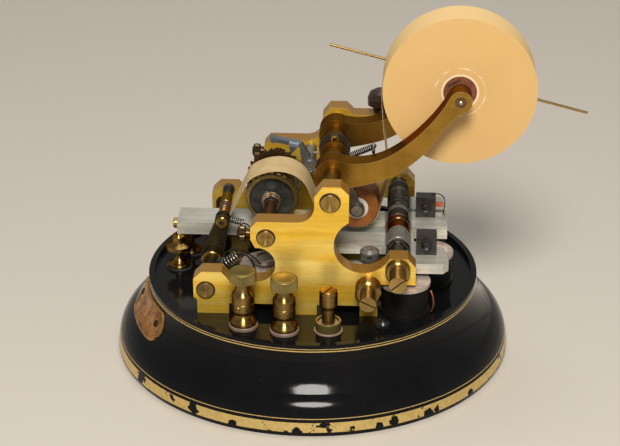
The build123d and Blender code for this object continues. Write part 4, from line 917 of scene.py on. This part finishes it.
for side, spot, top in zip(("left", "right"), thumbSpots, posts["headTops"]):
    r, d = thumbs["headRadius"], thumbs["ribDepth"]
    turnedPiece(
        side + "Thumbscrew", onDeck(spot), up,
        [
            (0, top - 12.0), (1.6, top - 12.0), (1.6, top - 8.05), (3.9, top - 7.95), (4.2, top - 7.6),
            (5.4, top - 6.9), (6.8, top - 6.3), (r - 0.1, top - 6.0, 0.05), (r, top - 5.8, d), (r, top - 0.9, d),
            (r - 0.1, top - 0.6, 0.05), (r - 0.5, top - 0.2), (r - 1.2, top), (r - 1.6, top - 0.05),
            (2.0, top - 0.35), (0, top - 0.4),
        ],
        "oliveBrass", side + "_thumbscrew", thumbs["ribs"], (side + "_post_thumbscrew",),
    )
print("posts and thumbscrews cut")

# clamp screws with ribbed heads
clamps = {"ribs": 22, "ribDepth": 0.45}
for side in ("front", "rear"):
    node = side + "_clamp_screw"
    low, high = spans(node)
    y, z = middle(node)[1:]
    long = high[0] - low[0]
    d = clamps["ribDepth"]
    turnedPiece(
        side + "ClampScrew", (high[0], y, z), (-1, 0, 0),
        [
            (0, 0), (1.5, 0), (1.5, long - 7.3), (1.5, long - 6.8), (2.5, long - 6.7), (2.7, long - 4.9),
            (3.7, long - 4.6), (4.0, long - 4.2, 0.1), (4.2, long - 3.9, d), (4.2, long - 1.5, d),
            (3.9, long - 1.1, 0.1), (3.0, long - 0.5), (1.9, long), (0, long - 0.1),
        ],
        "darkBronze", side + "_clamp", clamps["ribs"], (node,),
    )

# screw ends that lie flush in the front and rear plates: a dark rim of painted shadow and a shallow turned dish
# on each
flush = {
    "rim": 0.85,
    "proud": 0.14,
    "shafts": [
        # name, axis, rim's bore, dish radius, height of the dish's lip, finish
        ("typeBearing", typeAxis, 4.4, 4.3, 0.75, "goldScrew"),
        ("rockShaft", leftAxis, 4.5, 4.45, 0.35, "faceBrass"),
        ("crossShaft", crossAxis, 4.95, 4.8, 0.75, "goldScrew"),
    ],
}
plateEnds = (("Front", plateFront, -1), ("Rear", spans("rear_plate")[1][1], 1))
for name, axis, bore in [shaft[:3] for shaft in flush["shafts"]]:
    outer, proud = bore + flush["rim"], flush["proud"]
    outline = [(bore, -0.3), (bore + 0.05, proud), (outer - 0.2, proud), (outer, -0.1)]
    for end, y, way in plateEnds:
        shaftPiece(name + end + "Rim", axis, y, outline, "darkRim", "frame", way)
for name, axis, bore, radius, lip, finish in flush["shafts"]:
    outline = [
        (radius, -0.2), (radius, 0.75 + lip), (radius - 0.25, 0.85 + lip), (radius - 0.6, 0.8 + lip),
        (0.7, 0.85), (0, 0.8),
    ]
    for end, y, way in plateEnds:
        shaftPiece(name + "Face" + end, axis, y, outline, finish, "frame", way)
print("plate screws faced")

# springs wound as real helices
springs = {
    "lug": {"radius": 2.95, "wire": 0.42, "turns": 6.5},
    "shaft": {"radius": 5.3, "wire": 0.34, "turns": 3.6, "span": (-9.4, -3.4), "layers": 2},
    "guide": {"radius": 2.52, "wire": 0.50, "turns": 8.0, "span": (-1.6, 8.6)},
    "cluster": {
        "radius": 3.2, "wire": 0.50, "turns": 4.6, "foot": (-44.6, -36.2, 63.4), "way": (0.66, -0.12, 0.55),
        "long": 8.6,
    },
    "scroll": {"radius": 1.6, "wire": 0.36, "turns": 5.5},
    "return": {"radius": 1.55, "wire": 0.36, "turns": 15.0},
}
look = springs["lug"]
low, high = spans("lug_spring")
lugX, lugZ = middle("lug_spring")[::2]
lugLong = high[1] - low[1] - 2 * look["wire"]
lugCoil = coilPoints((lugX, low[1] + look["wire"], lugZ), (0, 1, 0), look["radius"], lugLong, look["turns"])
wirePiece("lugSpring", lugCoil, look["wire"], "blackWire", "frame", ("lug_spring",))
wirePiece(
    "lugSpringArm",
    [
        (lugX - 1.0, high[1] - 0.5, lugZ + 2.9), (lugX + 2.5, high[1] - 0.5, lugZ + 7.5),
        (lugX + 7.5, high[1] - 1.5, lugZ + 10.6), (lugX + 13.0, high[1] - 2.5, lugZ + 8.4),
        (lugX + 18.0, high[1] - 3.0, lugZ + 5.4), (lugX + 21.0, high[1] - 2.0, lugZ + 1.0),
    ],
    0.42, "blackWire", "frame",
)
look = springs["cluster"]
wirePiece(
    "leverSpring", coilPoints(look["foot"], look["way"], look["radius"], look["long"], look["turns"], perTurn=12),
    look["wire"], "softSteelWire", "frame",
)
wirePiece(
    "leverSpringHook",
    [(-38.6, -37.6, 68.6), (-36.2, -38.0, 70.2), (-33.4, -38.6, 69.6), (-31.0, -39.4, 66.2), (-29.4, -40.4, 62.4),
     (-29.0, plateBack + 0.2, 60.6)],
    0.55, "blackWire", "frame",
)
look = springs["shaft"]
random.seed(7)
for layer in range(look["layers"]):
    strand = []
    lean = random.uniform(0, 2 * pi)
    count = int(look["turns"] * 16)
    for step in range(count + 1):
        part = step / count
        angle = 2 * pi * look["turns"] * part + lean
        reach = look["radius"] * (1.0 - 0.16 * part) - 0.5 * layer + random.uniform(-0.10, 0.10)
        along = look["span"][0] + (look["span"][1] - look["span"][0]) * (1 - part) + 0.55 * sin(3 * angle + lean)
        strand.append((typeAxis[0] + reach * cos(angle), along, typeAxis[2] + reach * sin(angle)))
    wirePiece("typeShaftCoil" + "AB"[layer], strand, look["wire"], "tanWire", "type_wheels")
shaftPiece(
    "typeShaftSleeve", typeAxis, plateBack + 0.6,
    [(3.0, 0), (3.4, 0), (3.5, 0.3), (3.5, 8.0), (3.2, 8.3), (3.2, 8.9), (3.5, 9.2), (3.5, 28.4), (3.3, 28.8)],
    "brownBrass", "type_wheels",
)
look = springs["guide"]
wirePiece(
    "guideTubeCoil",
    coilPoints((guideAxis[0], look["span"][0], guideAxis[2]), (0, 1, 0), look["radius"],
               look["span"][1] - look["span"][0], look["turns"], perTurn=14),
    look["wire"], "brownBrass", "rocker",
)
guideFront = spans("tape_guide_tube")[0][1]
shaftPiece(
    "guideTube", guideAxis, guideFront,
    [
        (0, 1.6), (1.3, 1.6), (1.3, 0.3), (2.9, 0.3), (3.0, 0.5), (3.0, 8.4), (2.1, 8.6), (2.1, 20.4),
        (2.9, 20.6), (3.0, 20.9), (3.0, 45.2), (3.6, 45.3), (3.6, 45.9), (3.3, 46.1), (0, 46.1),
    ],
    "darkSteel", "rocker", instead=("tape_guide_tube",),
)
shaftPiece(
    "guideTubeBarrel", guideAxis, 10.2,
    [
        (2.0, 0), (2.8, 0), (3.06, 0.3), (3.06, 2.0), (2.8, 2.2), (2.8, 2.8), (3.06, 3.0), (3.06, 15.0),
        (2.8, 15.3), (2.0, 15.3),
    ],
    "turnedBrass", "rocker",
)
shaftPiece(
    "guideTubeFerrule", guideAxis, guideFront - 0.3,
    [(1.3, 0.9), (1.3, 0.0), (2.9, 0.0), (3.3, 0.3), (3.3, 1.2), (3.0, 1.5)],
    "goldScrew", "rocker",
)
look = springs["scroll"]
scrollFoot = (guideAxis[0] + 4.4, -5.2, guideAxis[2] - 0.2)
scrollWay = Vector((1.0, -0.30, -0.10))
scroll = coilPoints(scrollFoot, scrollWay, look["radius"], 7.6, look["turns"])
scroll += [
    (scrollFoot[0] + 9.6, -11.0, scrollFoot[2] + 0.6), (scrollFoot[0] + 11.5, -20.0, scrollFoot[2] + 2.4),
    (scrollFoot[0] + 15.0, -33.0, scrollFoot[2] + 6.5),
    (scrollFoot[0] + 16.8, plateBack + 0.2, scrollFoot[2] + 8.6),
]
wirePiece("scrollSpring", scroll, look["wire"], "softSteelWire", "frame")
look = springs["return"]
returnFoot = Vector((18.4, 2.0, 110.6))
returnEnd = Vector((32.6, 2.0, 117.0))
returnWay = returnEnd - returnFoot
wirePiece(
    "returnSpring", coilPoints(returnFoot, returnWay, look["radius"], returnWay.length, look["turns"]),
    look["wire"], "blackWire", "frame",
)
turnedPiece(
    "returnSpringPin", (33.2, -6.6, 117.3), (0, 1, 0),
    [(0.9, 0), (0.9, 8.6), (1.5, 8.7), (1.5, 9.4), (1.2, 9.7), (0, 9.7)], "softIron", "frame",
)
print("springs wound")

# bronze sleeves on the right shaft, and the blackened screws of the two blocks
sleeves = [
    # name, body, front end, length, radius, finish
    ("typeHubSleeve", "type_arm", -9.6, 8.3, 6.15, "redBronze"),
    ("middleCollarSleeve", "frame", -0.7, 3.8, 6.85, "redBronze"),
    ("printHubRing", "print_arm", 6.2, 8.4, 5.9, "darkSteel"),
    ("printHubCap", "print_arm", 20.4, 2.6, 6.1, "shaftSteel"),
    ("shiftHubRing", "shift_arm", 27.4, 13.0, 6.3, "shaftSteel"),
    ("shiftHubBand", "shift_arm", 43.0, 8.6, 5.9, "darkSteel"),
    ("typeHubCap", "type_arm", -31.0, 3.0, 6.5, "shaftSteel"),
]
for name, body, start, long, radius, finish in sleeves:
    bore, soft = radius - 0.6, radius - 0.1
    outline = [(bore, 0), (soft, 0), (radius, 0.3), (radius, long - 0.3), (soft, long), (bore, long)]
    shaftPiece(name, rightAxis, start, outline, finish, body)
for name, body, spot in (
    ("printBlockScrew", "print_arm", (62.8, 14.9, 74.6)), ("typeBlockScrew", "type_arm", (62.8, -29.8, 73.0)),
):
    shape = bmesh.new()
    addTurned(
        shape, spot, (0, -1, 0),
        [(3.15, -0.2), (3.15, 0.25), (2.75, 0.3), (2.75, 0.9), (2.45, 1.5), (1.7, 1.9), (0.7, 2.05), (0, 2.1)],
        0, 40,
    )
    meshPiece(name, shape, "blackScrew", body)

# ring on the left shaft, and the pin at the roll's axle
shaftPiece(
    "rockShaftRing", leftAxis, -18.0,
    [(4.05, 0), (5.4, 0), (5.8, 0.35), (5.85, 1.0), (5.7, 1.4), (5.6, 1.5)], "goldScrew", "rocker",
)
armFront = spans("reel_bracket")[0][1]
axleBack = spans("reel_axle")[1][1]
axleLong = axleBack - armFront
shaftPiece(
    "reelAxle", reelAxis, axleBack,
    [
        (0, 0), (2.8, 0), (3.2, 0.4), (3.2, axleLong + 0.1), (2.9, axleLong + 0.5), (1.6, axleLong + 0.75),
        (0, axleLong + 0.8),
    ],
    "brownBrass", "frame", -1, ("reel_axle",),
)
shaftPiece(
    "axleCentre", reelAxis, armFront - 0.7, [(1.0, 0), (0.95, 0.25), (0.6, 0.5), (0, 0.6)],
    "polishedSteel", "frame", -1,
)
# a dark bar on the core's front face: painted shade of its slot
barPiece(
    "coreSlotShade", (reelAxis[0] - 6.8, spans("roll_core")[0][1] + 0.02, reelAxis[2] + 3.6), (0.86, 0, 0.51),
    (0.5, 1.0, 7.6), "darkRim", "paper_reel", 0.1,
)

# pale collar on the feed roller, behind its hanger
shaftPiece(
    "rollerCollar", middle("feed_roller"), spans("feed_roller")[0][1] + 0.1,
    [(2.0, 0), (6.3, 0), (6.3, 0.35), (6.0, 0.6), (2.0, 0.6)], "paleHub", "feed_roll", -1,
)

# small wires and the fibre tab
wirePiece(
    "frontMagnetLead",
    [(65.4, -46.6, 54.4), (66.6, -48.4, 52.2), (67.2, -49.6, 48.6), (66.8, -50.2, 45.4), (65.8, -50.0, 43.8)],
    0.50, "redCopper", "frame",
)
barPiece("blockTab", (68.2, 19.4, 75.2), (1, 0, 0), (1.8, 2.6, 4.6), "redFibre", "print_arm", 0.35)
wirePiece(
    "blockLoop",
    [
        (66.4, 19.4, 80.9), (69.0, 19.4, 82.2), (72.2, 19.4, 81.0), (73.9, 19.4, 77.6), (73.4, 19.4, 73.4),
        (72.6, 19.4, 68.6),
    ],
    0.32, "blackWire", "print_arm",
)
wirePiece(
    "pawlSpring",
    [(-4.6, 36.8, 97.4), (-1.4, 36.8, 98.6), (2.6, 36.8, 98.2), (6.6, 36.8, 96.2), (9.0, 36.8, 94.0)],
    0.45, "darkSteel", "pawl",
)
print("wires laid")

# ornate worn plate on the skirt's left
tag = {
    "middle": 196.8,
    "levels": [
        # height in mm and half width in degrees
        (21.2, 10.0), (21.5, 13.0), (22.1, 14.2), (23.1, 14.8), (23.9, 14.4), (24.9, 15.6), (26.3, 16.2),
        (28.2, 16.4), (30.2, 16.3), (32.2, 16.0), (34.2, 15.6), (35.8, 15.2), (37.0, 14.6), (37.9, 14.0),
        (38.4, 12.8),
    ],
    "thick": 1.15,
    "rimLift": 0.35,
    "columns": 36,
    "screws": (-12.0, 12.0),  # degrees either side of the middle
}
skirt = {"centre": (121.52, 41.8), "radius": 29.72}


def onSkirt(angle, z, lift):
    drop = skirt["centre"][1] - z
    reach = sqrt(skirt["radius"] ** 2 - drop * drop)
    outR, outZ = reach / skirt["radius"], drop / skirt["radius"]
    radius = skirt["centre"][0] - reach + outR * lift
    turn = radians(angle)
    return Vector((radius * cos(turn) * mm, radius * sin(turn) * mm, (z + outZ * lift) * mm))


shape = bmesh.new()
columns, rows = tag["columns"], len(tag["levels"])
front, back = [], []
for row, (z, half) in enumerate(tag["levels"]):
    frontRow, backRow = [], []
    for column in range(columns + 1):
        across = column / columns * 2 - 1
        angle = tag["middle"] + half * across
        edge = abs(across) > 0.94 or row in (0, rows - 1)
        ridge = 0.86 < abs(across) <= 0.97 or row in (1, rows - 2)
        lift = tag["thick"] + (tag["rimLift"] if ridge and not edge else 0.0)
        frontRow.append(shape.verts.new(onSkirt(angle, z, lift)))
        backRow.append(shape.verts.new(onSkirt(angle, z, 0.12)))
    front.append(frontRow)
    back.append(backRow)
for row in range(rows - 1):
    for column in range(columns):
        a, b = front[row], front[row + 1]
        shape.faces.new((a[column], a[column + 1], b[column + 1], b[column]))
        a, b = back[row], back[row + 1]
        shape.faces.new((a[column], b[column], b[column + 1], a[column + 1]))
outer = [(0, c) for c in range(columns)] + [(r, columns) for r in range(rows - 1)]
outer += [(rows - 1, c) for c in range(columns, 0, -1)] + [(r, 0) for r in range(rows - 1, 0, -1)]
for (r0, c0), (r1, c1) in zip(outer, outer[1:] + outer[:1]):
    shape.faces.new((front[r0][c0], back[r0][c0], back[r1][c1], front[r1][c1]))
meshPiece("skirtPlate", shape, "wornPlate", "frame", ("base_nameplate",), 50.0)
shape = bmesh.new()
for turn in tag["screws"]:
    spot = onSkirt(tag["middle"] + turn, 30.0, tag["thick"] - 0.2) / mm
    outward = (spot - onSkirt(tag["middle"] + turn, 30.0, 0.0) / mm).normalized()
    addTurned(shape, spot, outward, [(1.9, 0), (1.9, 0.6), (1.6, 0.95), (0.9, 1.2), (0, 1.25)], 0, 32)
meshPiece("skirtPlateScrews", shape, "darkBronze", "frame", ("nameplate_screws",))
print("skirt plate shaped")

floorSize = 6.0
floorMesh = bpy.data.meshes.new("floor")
corners = [(x * floorSize, y * floorSize, 0) for x, y in ((-1, -1), (1, -1), (1, 1), (-1, 1))]
floorMesh.from_pydata(corners, [], [(0, 1, 2, 3)])
floor = bpy.data.objects.new("floor", floorMesh)
bpy.context.collection.objects.link(floor)
floorMesh.materials.append(newFinish("floor", studio["floorColour"], 0.0, 0.55)[0])
print("floor laid")
